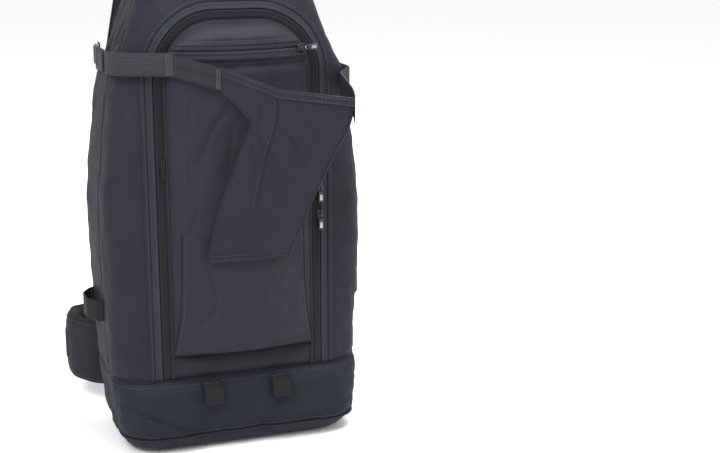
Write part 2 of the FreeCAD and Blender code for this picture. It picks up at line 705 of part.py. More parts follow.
def hip_belt():
    """Padded wings that curve round the waist, joined by webbing and a side-release buckle."""
    bottom, top = d.hip_wing_bottom, d.hip_wing_bottom + d.hip_wing_height
    z, y, half = d.hip_buckle_height, d.hip_buckle_depth, d.hip_webbing * 0.5
    for name, s in SIDES:
        path = [(s * 94, 86), (s * 140, 94), (s * 166, 137), (s * 150, 205), (s * 118, 240)]
        keep(strip(f"hip_wing_{name}", "XY", path, [0, 30, 40, 44, 0], d.hip_wing_thick, bottom, top))
    left = [(-117, 241), (-84, y), (-35.5, y)]
    keep(strip("hip_webbing_left", "XY", left, [0, 20, 0], 1.6, z - half, z + half))
    right = [(117, 241), (88, y - 7.4), (1, y - 7.4)]
    keep(strip("hip_webbing_right", "XY", right, [0, 20, 0], 1.6, z - half, z + half))
    sizes = SimpleNamespace(half_high=23.0, half_thick=6.0, wall=2.5, socket=22.0, housing=35.0,
                            base=16.0, prong=6.0, out=25.0)
    side_release("hip", y, z, sizes)


def side_release(prefix, y, z, g):
    """A side-release buckle along X. The female's mouth faces +X, and the male stands clear of it, open."""
    female = new_body(f"{prefix}_buckle_female")
    shell = box_corners(-g.housing, -1, z - g.half_high, z + g.half_high)
    prism(female, "XZ", shell, [4] * 4, y - g.half_thick, y + g.half_thick)
    high, thick = g.half_high - g.wall, g.half_thick - g.wall
    socket = outline(female, "YZ", -0.5, box_corners(y - thick, y + thick, z - high, z + high), [0] * 4)
    cut(female, socket, g.socket + 1.5)
    keep(female)
    male = new_body(f"{prefix}_buckle_male")
    reach, thin, out = high - 1.0, thick - 0.8, g.out
    base = box_corners(out - 0.6, out + g.base, z - g.half_high + 1, z + g.half_high - 1)
    prism(male, "XZ", base, [0] * 4, y - g.half_thick + 0.5, y + g.half_thick - 0.5)
    tongues = [(z - reach, z - reach + g.prong), (z - 1.5, z + 1.5), (z + reach - g.prong, z + reach)]
    for z0, z1 in tongues:
        prism(male, "XZ", box_corners(out - g.socket + 1.5, out + 0.5, z0, z1), [0] * 4, y - thin, y + thin)
    keep(male)


# ---------------------------------------------------------------- build, check and write
def main():
    base_panel()
    main_shell()
    main_zip()
    front_panel()
    pocket_zip()
    pocket_slider()
    main_sliders()
    helmet_flap()
    flap_straps()
    inner_sleeve()
    webbing_loops()
    back_frame()
    back_pads()
    shoulder_straps()
    sternum_strap()
    hip_belt()
    doc.recompute()
    for item in doc.Objects:
        if {"Invalid", "Error"} & set(item.State):
            raise RuntimeError(f"{item.Label} failed: {item.State}")
    for node in NODES:
        if node.Shape.isNull() or not node.Shape.isValid() or not node.Shape.Solids:
            raise RuntimeError(f"{node.Label} has no valid solid")
        node.Shape.exportStep(f"parts/{node.Label}.step")
    print(f"{len(NODES)} nodes written")


main()
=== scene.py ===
"""Looks for the ski backpack: cloth, webbing, zips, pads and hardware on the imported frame."""
import json
import math

import bmesh
import bpy
from mathutils import Matrix, Vector, noise


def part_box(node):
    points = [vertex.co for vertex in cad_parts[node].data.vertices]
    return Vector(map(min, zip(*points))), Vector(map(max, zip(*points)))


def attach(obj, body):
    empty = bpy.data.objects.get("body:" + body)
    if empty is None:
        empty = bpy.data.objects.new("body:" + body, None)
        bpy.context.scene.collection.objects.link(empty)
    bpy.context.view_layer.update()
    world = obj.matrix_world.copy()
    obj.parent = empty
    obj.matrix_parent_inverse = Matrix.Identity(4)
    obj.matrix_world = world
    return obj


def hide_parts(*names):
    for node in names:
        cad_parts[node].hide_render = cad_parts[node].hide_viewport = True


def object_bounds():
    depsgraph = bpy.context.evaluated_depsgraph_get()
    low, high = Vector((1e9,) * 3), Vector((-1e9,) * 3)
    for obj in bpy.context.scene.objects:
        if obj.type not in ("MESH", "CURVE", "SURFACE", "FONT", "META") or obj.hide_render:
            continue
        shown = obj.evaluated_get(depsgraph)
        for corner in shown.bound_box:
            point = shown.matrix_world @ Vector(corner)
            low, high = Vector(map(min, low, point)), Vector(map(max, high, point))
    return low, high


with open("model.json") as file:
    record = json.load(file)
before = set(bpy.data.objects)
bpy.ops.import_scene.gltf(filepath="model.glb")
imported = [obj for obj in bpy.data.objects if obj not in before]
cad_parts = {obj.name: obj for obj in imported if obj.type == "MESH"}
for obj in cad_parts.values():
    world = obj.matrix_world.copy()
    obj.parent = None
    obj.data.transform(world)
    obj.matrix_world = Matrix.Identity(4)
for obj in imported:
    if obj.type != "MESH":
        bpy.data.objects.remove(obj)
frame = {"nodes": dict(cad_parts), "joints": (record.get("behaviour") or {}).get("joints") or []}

CAD_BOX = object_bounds()
MM = 0.001
UP, BACK, FORWARD = Vector((0, 0, 1)), Vector((0, 1, 0)), Vector((0, -1, 0))
SIDES = (("left", -1), ("right", 1))


# ---------------------------------------------------------------- camera, light and floor
def add_camera(target, azimuth, elevation, distance):
    data = bpy.data.cameras.new("camera")
    data.lens, data.sensor_width = 70, 36
    camera = bpy.data.objects.new("camera", data)
    bpy.context.scene.collection.objects.link(camera)
    a, e = math.radians(azimuth), math.radians(elevation)
    back = Vector((math.sin(a) * math.cos(e), -math.cos(a) * math.cos(e), math.sin(e)))
    camera.location = Vector(target) + back * distance
    camera.rotation_mode = "QUATERNION"
    camera.rotation_quaternion = (-back).to_track_quat("-Z", "Y")
    bpy.context.scene.camera = camera


LAMPS = (  # name, place, height of its aim, size in metres, watts
    ("key", (-1.3, -1.5, 2.0), 0.3, 0.9, 52),
    ("fill", (1.9, -1.2, 0.9), 0.3, 1.6, 9),
    ("rim", (0.7, 1.9, 1.6), 0.35, 1.2, 26),
    ("top", (0.35, -0.75, 2.2), 0.3, 0.8, 34),
)
FLOOR_EDGE = 14  # metres from the middle


def add_studio():
    scene = bpy.context.scene
    scene.view_settings.view_transform = "Standard"
    world = bpy.data.worlds.new("studio")
    scene.world = world
    world.use_nodes = True
    background = world.node_tree.nodes["Background"]
    background.inputs["Color"].default_value = (0.98, 0.985, 1.0, 1)
    background.inputs["Strength"].default_value = 1.02
    for name, place, aim, size, watts in LAMPS:
        data = bpy.data.lights.new(name, "AREA")
        data.shape, data.size, data.energy = "SQUARE", size, watts
        lamp = bpy.data.objects.new(name, data)
        scene.collection.objects.link(lamp)
        lamp.location = place
        lamp.rotation_euler = (Vector((0, 0, aim)) - Vector(place)).to_track_quat("-Z", "Y").to_euler()
    low = CAD_BOX[0].z - 0.0005
    corners = [(x * FLOOR_EDGE, y * FLOOR_EDGE, low) for x, y in ((-1, -1), (1, -1), (1, 1), (-1, 1))]
    mesh = bpy.data.meshes.new("floor")
    mesh.from_pydata(corners, [], [(0, 1, 2, 3)])
    floor = bpy.data.objects.new("floor", mesh)
    scene.collection.objects.link(floor)
    finish = Finish("floor_white")
    finish.base((0.90, 0.905, 0.91), roughness=0.9)
    mesh.materials.append(finish.material)


# ---------------------------------------------------------------- materials
class Finish:
    """A node material: a Principled shader with a colour chain and a bump chain."""

    def __init__(self, name):
        self.material = bpy.data.materials.new(name)
        self.material.use_nodes = True
        self.tree = self.material.node_tree
        self.shader = self.tree.nodes["Principled BSDF"]

    def node(self, kind, **settings):
        made = self.tree.nodes.new("ShaderNode" + kind)
        for key, value in settings.items():
            setattr(made, key, value)
        return made

    def link(self, source, target):
        self.tree.links.new(source, target)

    def base(self, colour, roughness=0.6, sheen=0.0, specular=0.5, metallic=0.0):
        inputs = self.shader.inputs
        inputs["Base Color"].default_value = (*colour, 1)
        inputs["Roughness"].default_value = roughness
        inputs["Sheen Weight"].default_value = sheen
        inputs["Sheen Roughness"].default_value = 0.45
        inputs["Specular IOR Level"].default_value = specular
        inputs["Metallic"].default_value = metallic

    def feed(self, made, values):
        """Gives a node its inputs in order, each a socket to link or a plain value."""
        for socket, value in zip(made.inputs, values):
            if isinstance(value, bpy.types.NodeSocket):
                self.link(value, socket)
            else:
                socket.default_value = value
        return made

    def math(self, operation, *values):
        return self.feed(self.node("Math", operation=operation), values).outputs[0]

    def vector(self, operation, *values):
        made = self.feed(self.node("VectorMath", operation=operation), values)
        return made.outputs["Value" if operation == "DOT_PRODUCT" else "Vector"]

    def place(self):
        return self.node("TexCoord").outputs["Object"]

    def noise(self, scale, detail=3.0, rough=0.55, stretch=None):
        made = self.node("TexNoise")
        made.inputs["Scale"].default_value = scale
        made.inputs["Detail"].default_value = detail
        made.inputs["Roughness"].default_value = rough
        where = self.vector("MULTIPLY", self.place(), stretch) if stretch else self.place()
        self.link(where, made.inputs["Vector"])
        return made.outputs["Fac"]

    def spread(self, value, low, high, start=0.3, end=0.7):
        """Maps start..end of a value to low..high. Noise mostly lies in the range it starts with."""
        return self.feed(self.node("MapRange"), (value, start, end, low, high)).outputs["Result"]

    def tint(self, colour, factor):
        """Base colour times a varying grey factor."""
        grey = self.feed(self.node("CombineColor"), (factor, factor, factor))
        mix = self.node("Mix", data_type="RGBA", blend_type="MULTIPLY")
        mix.inputs[0].default_value = 1.0
        mix.inputs[6].default_value = (*colour, 1)
        self.link(grey.outputs["Color"], mix.inputs[7])
        self.link(mix.outputs[2], self.shader.inputs["Base Color"])

    def rough(self, scale, low, high):
        self.link(self.spread(self.noise(scale, 3), low, high), self.shader.inputs["Roughness"])

    def bump(self, *layers):
        """Each layer is (height, depth in metres, strength)."""
        before = None
        for height, depth, strength in layers:
            made = self.node("Bump")
            made.inputs["Distance"].default_value = depth
            made.inputs["Strength"].default_value = strength
            self.link(height, made.inputs["Height"])
            if before is not None:
                self.link(before, made.inputs["Normal"])
            before = made.outputs["Normal"]
        self.link(before, self.shader.inputs["Normal"])

    def weave(self, pitch_mm):
        """A plain weave seen square on from each side, blended by the surface's own direction."""
        k = 2 * math.pi / (pitch_mm * MM)
        split = self.feed(self.node("SeparateXYZ"), [self.vector("MULTIPLY", self.place(), (k, k, k))])
        x, y, z = (self.math("SINE", split.outputs[axis]) for axis in ("X", "Y", "Z"))
        pairs = [self.math("MULTIPLY", one, two) for one, two in ((y, z), (x, z), (x, y))]
        crossed = self.feed(self.node("CombineXYZ"), pairs)
        facing = self.vector("ABSOLUTE", self.node("TexCoord").outputs["Normal"])
        for _ in range(2):
            facing = self.vector("MULTIPLY", facing, facing)
        return self.vector("DOT_PRODUCT", facing, crossed.outputs[0])


def nylon(name, colour, pitch=0.9, roughness=0.68, sheen=0.015, depth=0.00010, vary=0.10):
    f = Finish(name)
    f.base(colour, roughness, sheen, 0.12)
    weave, lint = f.weave(pitch), f.noise(520, 2)
    cloud = f.spread(f.noise(14, 4), 1 - vary, 1 + vary)
    lift = f.math("MULTIPLY_ADD", weave, 0.07, 1.0)
    f.tint(colour, f.math("MULTIPLY", f.math("MULTIPLY", cloud, f.spread(lint, 0.94, 1.06)), lift))
    f.rough(60, roughness - 0.06, roughness + 0.06)
    rumple, fine = f.noise(26, 4, 0.6, (1, 1, 0.55)), f.noise(85, 3, 0.6)
    f.bump((rumple, 0.0060, 0.32), (fine, 0.0010, 0.35), (weave, depth, 0.8), (lint, 0.00006, 0.5))
    return f.material


def mesh_cloth(name, colour, pitch=2.6):
    """Spacer mesh: round holes in a hexagonal net."""
    f = Finish(name)
    f.base(colour, 0.8, 0.03, 0.1)
    cells = f.node("TexVoronoi", feature="F1")
    cells.inputs["Scale"].default_value = 1 / (pitch * MM)
    cells.inputs["Randomness"].default_value = 0.25
    f.link(f.place(), cells.inputs["Vector"])
    hole = f.spread(cells.outputs["Distance"], 0.35, 1.15, 0.22, 0.5)
    f.tint(colour, f.math("MULTIPLY", hole, f.spread(f.noise(30, 3), 0.88, 1.12)))
    f.bump((hole, 0.0007, 0.9), (f.noise(700, 2), 0.0001, 0.5))
    return f.material


def woven_tape(name, colour, rib=1.3, groove=3.6, roughness=0.7):
    """Woven tape: fine cross ribs and a few lengthwise grooves. UVs are in millimetres."""
    f = Finish(name)
    f.base(colour, roughness, 0.015, 0.12)
    split = f.feed(f.node("SeparateXYZ"), [f.node("TexCoord").outputs["UV"]])
    along, across = split.outputs["X"], split.outputs["Y"]
    slant = f.math("ABSOLUTE", f.math("SINE", f.math("MULTIPLY", across, math.pi / groove)))
    phase = f.math("ADD", f.math("MULTIPLY", along, 2 * math.pi / rib), f.math("MULTIPLY", slant, 2.4))
    ribs, lint = f.math("SINE", phase), f.noise(600, 2)
    rows, grooves = f.math("MULTIPLY_ADD", ribs, 0.10, 1.0), f.math("MULTIPLY_ADD", slant, 0.22, 0.84)
    shade = f.math("MULTIPLY", rows, grooves)
    f.tint(colour, f.math("MULTIPLY", shade, f.spread(lint, 0.92, 1.08)))
    f.bump((slant, 0.00030, 0.7), (ribs, 0.00016, 0.8), (lint, 0.00006, 0.5))
    return f.material


def moulded(name, colour, roughness=0.42, grain=900.0, depth=0.00004, metallic=0.0):
    """Moulded plastic or painted metal with a fine grain and lightly rubbed edges."""
    f = Finish(name)
    f.base(colour, roughness, metallic=metallic)
    worn = f.spread(f.node("NewGeometry").outputs["Pointiness"], 1.0, 1.5, 0.52, 0.62)
    f.tint(colour, f.math("MULTIPLY", worn, f.spread(f.noise(80, 3), 0.9, 1.1)))
    f.rough(140, roughness - 0.07, roughness + 0.09)
    f.bump((f.noise(grain, 2), depth, 0.6))
    return f.material


def thread(name, colour):
    f = Finish(name)
    f.base(colour, 0.7, 0.2, 0.3)
    f.tint(colour, f.spread(f.noise(900, 2), 0.85, 1.15))
    f.bump((f.noise(1800, 2), 0.00005, 0.5))
    return f.material


MAT = {
    "side": nylon("side_nylon", (0.0135, 0.0135, 0.0195), 0.9),
    "front": nylon("front_nylon", (0.0165, 0.0170, 0.0230), 0.8, roughness=0.55),
    # a lighter copy of the front nylon: painted top light on the panel above the pocket zip and on the crown
    # above the yoke
    "upper": nylon("upper_nylon_painted_toplight", (0.0215, 0.0215, 0.0285), 0.8, roughness=0.56),
    "base": nylon("base_nylon", (0.0105, 0.0130, 0.0185), 1.2, roughness=0.7, depth=0.00018),
    "foot": nylon("foot_nylon", (0.0150, 0.0165, 0.0195), 1.5, roughness=0.72, depth=0.00022),
    "flap": nylon("flap_nylon", (0.0145, 0.0130, 0.0205), 0.6, roughness=0.5, sheen=0.02, vary=0.06),
    "lining": nylon("lining_nylon", (0.060, 0.064, 0.072), 0.7, roughness=0.6, vary=0.05),
    "tape": woven_tape("zip_tape", (0.0250, 0.0265, 0.0350), 0.9, 5.2),
    # the same zip tape made darker: painted shade for the inner tape, which lies beside the panel's raised
    # edge
    "tape_painted_shade": woven_tape("zip_tape_painted_shade", (0.0145, 0.0150, 0.0185), 0.9, 5.2),
    "webbing": woven_tape("grey_webbing", (0.0265, 0.0270, 0.0320)),
    "webbing_dark": woven_tape("dark_webbing", (0.0110, 0.0105, 0.0120), 1.2, 3.0),
    "webbing_link": woven_tape("link_webbing", (0.0195, 0.0195, 0.0235), 1.1, 12.5, roughness=0.58),
    "mesh": mesh_cloth("pad_mesh", (0.0190, 0.0195, 0.0230)),
    "plastic": moulded("buckle_plastic", (0.010, 0.010, 0.0115), 0.4),
    "sheet": moulded("frame_plastic", (0.05, 0.05, 0.054), 0.5, grain=300, depth=0.0001),
    "slider": moulded("slider_paint", (0.030, 0.030, 0.033), 0.38, metallic=0.7),
    "bright": moulded("bright_metal", (0.24, 0.235, 0.23), 0.42, metallic=1.0),
    "stay": moulded("stay_aluminium", (0.50, 0.51, 0.53), 0.36, metallic=1.0),
    "thread": thread("grey_thread", (0.115, 0.118, 0.130)),
    "thread_dark": thread("dark_thread", (0.036, 0.037, 0.045)),
    "piping": nylon("piping", (0.0095, 0.0100, 0.0135), 0.6, roughness=0.5),
}


# ---------------------------------------------------------------- mesh helpers, in millimetres
def settle(obj, body, nodes=()):
    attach(obj, body)
    if nodes:
        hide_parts(*nodes)
    return obj


def box_mm(node):
    low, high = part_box(node)
    return low / MM, high / MM


def soften(obj):
    obj.data.polygons.foreach_set("use_smooth", [True] * len(obj.data.polygons))
    obj.data.update()
    return obj


def facing_out(obj):
    bm = bmesh.new()
    bm.from_mesh(obj.data)
    bmesh.ops.recalc_face_normals(bm, faces=bm.faces)
    bm.to_mesh(obj.data)
    bm.free()
    return obj


def make(name, points, faces, material, uvs=None, out=True):
    """A mesh object from points in millimetres. uvs holds one pair for each point."""
    mesh = bpy.data.meshes.new(name)
    mesh.from_pydata([Vector(p) * MM for p in points], [], faces)
    mesh.validate()
    if uvs:
        layer = mesh.uv_layers.new(name="UVMap")
        for loop in mesh.loops:
            layer.data[loop.index].uv = uvs[loop.vertex_index]
    for one in material if isinstance(material, list) else [material]:
        mesh.materials.append(one)
    obj = bpy.data.objects.new(name, mesh)
    bpy.context.scene.collection.objects.link(obj)
    soften(obj)
    return facing_out(obj) if out else obj


def grid_faces(rows, columns, wrap=False, start=0):
    faces = []
    for i in range(rows - 1):
        a, b = start + i * columns, start + (i + 1) * columns
        for j in range(columns if wrap else columns - 1):
            k = (j + 1) % columns
            faces.append((a + j, a + k, b + k, b + j))
    return faces


def tube_faces(rows, columns, start=0):
    """A closed section carried along rows, with both ends capped."""
    last = start + (rows - 1) * columns
    caps = [tuple(range(start, start + columns)), tuple(range(last + columns - 1, last - 1, -1))]
    return grid_faces(rows, columns, True, start) + caps


def modify(obj, kind, **settings):
    made = obj.modifiers.new(kind.lower(), kind)
    for key, value in settings.items():
        setattr(made, key, value)
    return made


def apply_all(obj):
    """Applies every modifier on the object."""
    graph = bpy.context.evaluated_depsgraph_get()
    graph.update()
    done = bpy.data.meshes.new_from_object(obj.evaluated_get(graph), depsgraph=graph)
    old = obj.data
    obj.modifiers.clear()
    obj.data = done
    bpy.data.meshes.remove(old)
    return obj


def refine(obj, kind, **settings):
    """Adds one modifier and applies it."""
    modify(obj, kind, **settings)
    return apply_all(obj)


def bevel(obj, width, angle):
    limit = math.radians(angle)
    return refine(obj, "BEVEL", width=width * MM, segments=2, limit_method="ANGLE", angle_limit=limit)


def ease(value, low, high):
    """A smooth step from 0 at low to 1 at high."""
    t = min(max((value - low) / (high - low), 0.0), 1.0)
    return t * t * (3 - 2 * t)


def bump_at(value, middle, width):
    """A bell curve, 1 at the middle."""
    return math.exp(-(((value - middle) / width) ** 2))


def tangent(one, two):
    """The harmonic mean of two slopes, or 0 where they disagree, so a curve doesn't overshoot."""
    return 0.0 if one * two <= 0 else 2 * one * two / (one + two)


def hermite(a, b, m0, m1, t):
    s, q = t * t * t, t * t
    return a * (2 * s - 3 * q + 1) + m0 * (s - 2 * q + t) + b * (3 * q - 2 * s) + m1 * (s - q)


def ramp(table, value):
    """Smooth interpolation down a list of (value, numbers)."""
    if value <= table[0][0]:
        return table[0][1]
    if value > table[-1][0]:
        return table[-1][1]
    i = next(i for i in range(len(table) - 1) if value <= table[i + 1][0])
    (z0, one), (z1, two) = table[i], table[i + 1]
    span = z1 - z0
    out = []
    for k in range(len(one)):
        here = m0 = m1 = (two[k] - one[k]) / span
        if i:
            m0 = tangent((one[k] - table[i - 1][1][k]) / (z0 - table[i - 1][0]), here)
        if i + 2 < len(table):
            m1 = tangent(here, (table[i + 2][1][k] - two[k]) / (table[i + 2][0] - z1))
        out.append(hermite(one[k], two[k], m0 * span, m1 * span, (value - z0) / span))
    return out


def lengths(points):
    total = [0.0]
    for a, b in zip(points, points[1:]):
        total.append(total[-1] + (b - a).length)
    return total


def resample(points, step):
    """Points at even spacing along a polyline."""
    run = lengths(points)
    count = max(2, int(round(run[-1] / step)) + 1)
    out, k = [], 0
    for i in range(count):
        want = run[-1] * i / (count - 1)
        while k < len(run) - 2 and run[k + 1] < want:
            k += 1
        span = run[k + 1] - run[k]
        out.append(points[k].lerp(points[k + 1], (want - run[k]) / span if span else 0))
    return out


def rounded(points, radii, step=3.0):
    """A polyline in space with its corners turned into arcs."""
    points = [Vector(p) for p in points]
    out = [points[0]]
    for before, corner, after, radius in zip(points, points[1:], points[2:], radii[1:]):
        one, two = (before - corner).normalized(), (after - corner).normalized()
        half = one.angle(two) / 2
        if radius <= 0 or half > math.pi / 2 - 0.01:
            out.append(corner)
            continue
        reach = radius / math.tan(half)
        middle = corner + (one + two).normalized() * (radius / math.sin(half))
        start, end = corner + one * reach - middle, corner + two * reach - middle
        turn = math.pi - 2 * half
        count = max(3, int(turn * radius / step))
        axis = start.cross(end).normalized()
        for k in range(count + 1):
            angle = turn * k / count
            out.append(middle + start * math.cos(angle) + axis.cross(start) * math.sin(angle))
    out.append(points[-1])
    return resample(out, step)


def directions(points):
    last = len(points) - 1
    return [(points[min(i + 1, last)] - points[max(i - 1, 0)]).normalized() for i in range(last + 1)]


def each(value, points):
    """A direction for every point: a list as it is, or one direction repeated."""
    return value if isinstance(value, list) else [Vector(value)] * len(points)


def sweep(name, points, sides, ups, profile, material, closed=False):
    """A closed profile of (across, lift) pairs carried along a path."""
    verts, uvs = [], []
    for point, side, up, distance in zip(points, sides, ups, lengths(points)):
        for across, lift in profile:
            verts.append(point + side * across + up * lift)
            uvs.append((distance, across))
    n, rows = len(profile), len(points)
    faces = grid_faces(rows, n, True) if closed else tube_faces(rows, n)
    if closed:
        last = (rows - 1) * n
        faces += [(last + j, last + (j + 1) % n, (j + 1) % n, j) for j in range(n)]
    return make(name, verts, faces, material, uvs)


def tape_profile(width, thick, edge=0.6):
    """A flat tape's section with soft edges, from lift 0 to thick."""
    half = width / 2
    low, top = half - edge * 0.4, half - edge
    return [
        (-half, thick * 0.3), (-low, 0), (low, 0), (half, thick * 0.3), (half, thick * 0.7), (top, thick),
        (half * 0.5, thick), (0, thick), (-half * 0.5, thick), (-top, thick), (-half, thick * 0.7),
    ]


def webbing(name, points, side, width, thick, material, outward):
    """Flat webbing along a path, with its width along side and its thickness centred on the path."""
    side, outward = Vector(side).normalized(), Vector(outward)
    sides, ups = [], []
    for way in directions(points):
        across = (side - way * side.dot(way)).normalized()
        up = way.cross(across).normalized()
        sides.append(across)
        ups.append(-up if up.dot(outward) < 0 else up)
    low = [p - u * (thick / 2) for p, u in zip(points, ups)]
    return sweep(name, low, sides, ups, tape_profile(width, thick), MAT[material])


def tube(name, points, radius, material, ups=None, closed=False, sections=8):
    ways = directions(points)
    if closed:
        ways = [(points[(i + 1) % len(points)] - points[i - 1]).normalized() for i in range(len(points))]
    guides = [UP if abs(way.z) < 0.9 else Vector((1, 0, 0)) for way in ways]
    if ups is not None:
        guides = each(ups, points)
    sides = [way.cross(guide).normalized() for way, guide in zip(ways, guides)]
    lifts = [side.cross(way).normalized() for way, side in zip(ways, sides)]
    turns = [2 * math.pi * k / sections for k in range(sections)]
    profile = [(radius * math.cos(turn), radius * math.sin(turn)) for turn in turns]
    return sweep(name, points, sides, lifts, profile, MAT[material], closed)


STITCH_GAP, STITCH_RADIUS, STITCH_LIFT = 1.3, 0.32, 0.15
STITCH_SHAPE = ((0, 0.25, -0.15), (0.18, 0.9, 0.12), (0.5, 1, 0.25), (0.82, 0.9, 0.12), (1, 0.25, -0.15))


def sew(name, points, normals, body, length=2.7):
    """A row of thread stitches along a path, each a short rounded bar lying on the surface."""
    run, normals = lengths(points), each(normals, points)
    verts, faces = [], []
    where, k = STITCH_GAP, 0
    while where + length < run[-1]:
        ends = []
        for mark in (where, where + length):
            while k < len(run) - 2 and run[k + 1] < mark:
                k += 1
            t = (mark - run[k]) / max(run[k + 1] - run[k], 1e-6)
            ends.append((points[k].lerp(points[k + 1], t), normals[k].lerp(normals[k + 1], t).normalized()))
        (a, up), (b, _) = ends
        side = (b - a).normalized().cross(up).normalized()
        faces += tube_faces(5, 6, len(verts))
        for share, size, high in STITCH_SHAPE:
            middle = a.lerp(b, share) + up * (STITCH_LIFT + high)
            reach = STITCH_RADIUS * size
            for turn in (math.radians(60 * j) for j in range(6)):
                verts.append(middle + side * (reach * math.cos(turn)) + up * (reach * 0.8 * math.sin(turn)))
        where += length + STITCH_GAP
    return settle(make(name, verts, faces, MAT["thread_dark"]), body)


def join(name, pieces):
    """Several objects made into one, keeping each face's material."""
    bpy.ops.object.select_all(action="DESELECT")
    for piece in pieces:
        piece.select_set(True)
    bpy.context.view_layer.objects.active = pieces[0]
    bpy.ops.object.join()
    pieces[0].name = name
    return pieces[0]


def zigzag(name, low, high, out, body, rows=3):
    """A bartack: short dense rows of zigzag thread down a webbing's end."""
    low, high, out = Vector(low), Vector(high), Vector(out).normalized()
    side = (high - low).normalized().cross(out).normalized()
    count = int((high - low).length / 0.9)
    parts = []
    for row in range(rows):
        middle = (row - (rows - 1) / 2) * 2.6
        path = []
        for k in range(count + 1):
            swing = 0.96 if k % 2 else -0.96
            path.append(low.lerp(high, k / count) + side * (middle + swing) + out * 0.3)
        parts.append(tube(f"{name}_{row}", path, 0.34, "thread", out, sections=5))
    return settle(join(name, parts), body)


def rounded_box(name, low, high, radius, material, segments=3):
    """A box with rounded edges, given by two corners in millimetres."""
    (x0, y0, z0), (x1, y1, z1) = low, high
    points = [(x, y, z) for z in (z0, z1) for y in (y0, y1) for x in (x0, x1)]
    faces = [(0, 2, 3, 1), (4, 5, 7, 6), (0, 1, 5, 4), (2, 6, 7, 3), (0, 4, 6, 2), (1, 3, 7, 5)]
    obj = make(name, points, faces, MAT[material], out=False)
    return soften(refine(obj, "BEVEL", width=radius * MM, segments=segments, limit_method="NONE"))


# ---------------------------------------------------------------- the shell's surface
# height: half width, front y, back y, corner radius
LEVELS = [
    (0, (118, -66, 60, 30)), (6, (130, -78, 69, 36)), (20, (138, -87.5, 72, 38)),
    (36, (143, -91.5, 75, 44)), (74, (146, -91.5, 75, 44)), (82, (146.5, -86, 75, 43)),
    (88, (145, -80.5, 75, 42)), (96, (146.5, -81.5, 75, 42)), (260, (148, -81, 75, 42)),
    (420, (133, -80, 75, 40)), (470, (114, -79, 75, 40)), (495, (106, -74, 75, 40)),
    (512, (101, -67, 75, 39)), (540, (92, -55, 73.5, 36)), (565, (79, -42, 69, 31)),
    (578, (69, -31, 63, 26)), (584, (55, -18, 55, 22)),
]
FOOT, SEAM, YOKE, CROWN = 20.6, 88.0, 551.0, 584  # heights: shell's foot, pouch seam, upper panel, top
ZIP_HALF, ZIP_TOP, ARCH, ZIP_FOOT = 94.0, 503.0, 70.0, 90.0
DOOR_HALF, DOOR_FOOT = 82.5, 116.0
POCKET = 462.0  # the pocket zip's height
PIVOT_Y, ZIP_RADIUS, DOOR_RADIUS = 66.1, 173.5, 176.5
LOOKS = {"side": 0, "lining": 1, "upper": 2, "base": 3}


def front_y(x, z):
    """The shell's front surface."""
    half, front, _, radius = ramp(LEVELS, z)
    past = min(abs(x) - (half - radius), radius * 0.98)
    return front if past <= 0 else front + radius - math.sqrt(radius**2 - past**2)


def arch_point(grow, t):
    """A point (x, z) on the horseshoe, t from 0 at its left foot to 1 at its right foot."""
    half, top, radius = ZIP_HALF + grow, ZIP_TOP + grow, ARCH + grow
    rise, flat, bend = top - radius - ZIP_FOOT, half - radius, radius * math.pi / 2
    from_top = (t - 0.5) * 2 * (rise + bend + flat)
    side, d = math.copysign(1, from_top), abs(from_top)
    if d <= flat:
        return side * d, top
    if d <= flat + bend:
        a = (d - flat) / radius
        return side * (flat + radius * math.sin(a)), top - radius + radius * math.cos(a)
    return side * half, top - radius - (d - flat - bend)


def arch_distance(x, z):
    """How far outside the zip line a point of the front lies, negative inside it."""
    low, inner_x = ZIP_TOP - ARCH, ZIP_HALF - ARCH
    if z <= low:
        return abs(x) - ZIP_HALF
    if abs(x) <= inner_x:
        return z - ZIP_TOP
    return math.hypot(abs(x) - inner_x, z - low) - ARCH


def soft_noise(point, size, seed=0.0):
    return noise.noise(Vector(point) / size + Vector((seed, seed * 1.7, -seed)))


def creases(point, size, seed, width=0.16):
    """Narrow soft grooves that wander over a cloth, from 0 to 1."""
    value = abs(soft_noise(point, size, seed))
    amount = 0.5 + soft_noise(point, size * 2.3, seed + 40)
    return max(0.0, 1 - value / width) ** 1.5 * min(max(amount, 0), 1)


FRONT_STEPS, CORNER_STEPS, SIDE_STEPS, BACK_STEPS = 60, 14, 30, 44


def shell_ring(z):
    """Points round one level, anticlockwise from the left end of the front: x, y and outward normal."""
    half, front, back, radius = ramp(LEVELS, z)
    flat_x, low_y, high_y = half - radius, front + radius, back - radius
    ring = []

    def run(a, b, normal, count):
        for k in range(count):
            t = k / count
            ring.append((a[0] + (b[0] - a[0]) * t, a[1] + (b[1] - a[1]) * t, *normal))

    def bend(cx, cy, start):
        for k in range(CORNER_STEPS):
            a = math.radians(start) + math.pi / 2 * k / CORNER_STEPS
            ring.append((cx + radius * math.cos(a), cy + radius * math.sin(a), math.cos(a), math.sin(a)))

    run((-flat_x, front), (flat_x, front), (0, -1), FRONT_STEPS)
    bend(flat_x, low_y, -90)
    run((half, low_y), (half, high_y), (1, 0), SIDE_STEPS)
    bend(flat_x, high_y, 0)
    run((flat_x, back), (-flat_x, back), (0, 1), BACK_STEPS)
    bend(-flat_x, high_y, 90)
    run((-half, high_y), (-half, low_y), (-1, 0), SIDE_STEPS)
    bend(-flat_x, low_y, 180)
    return ring


COLUMNS = FRONT_STEPS + 4 * CORNER_STEPS + 2 * SIDE_STEPS + BACK_STEPS
CORNER_FOLDS = ((-1, 3.0, (132, 58), (60, 23)), (1, 1.8, (130, 40), (74, 24)))  # side, depth, ends as (x, z)


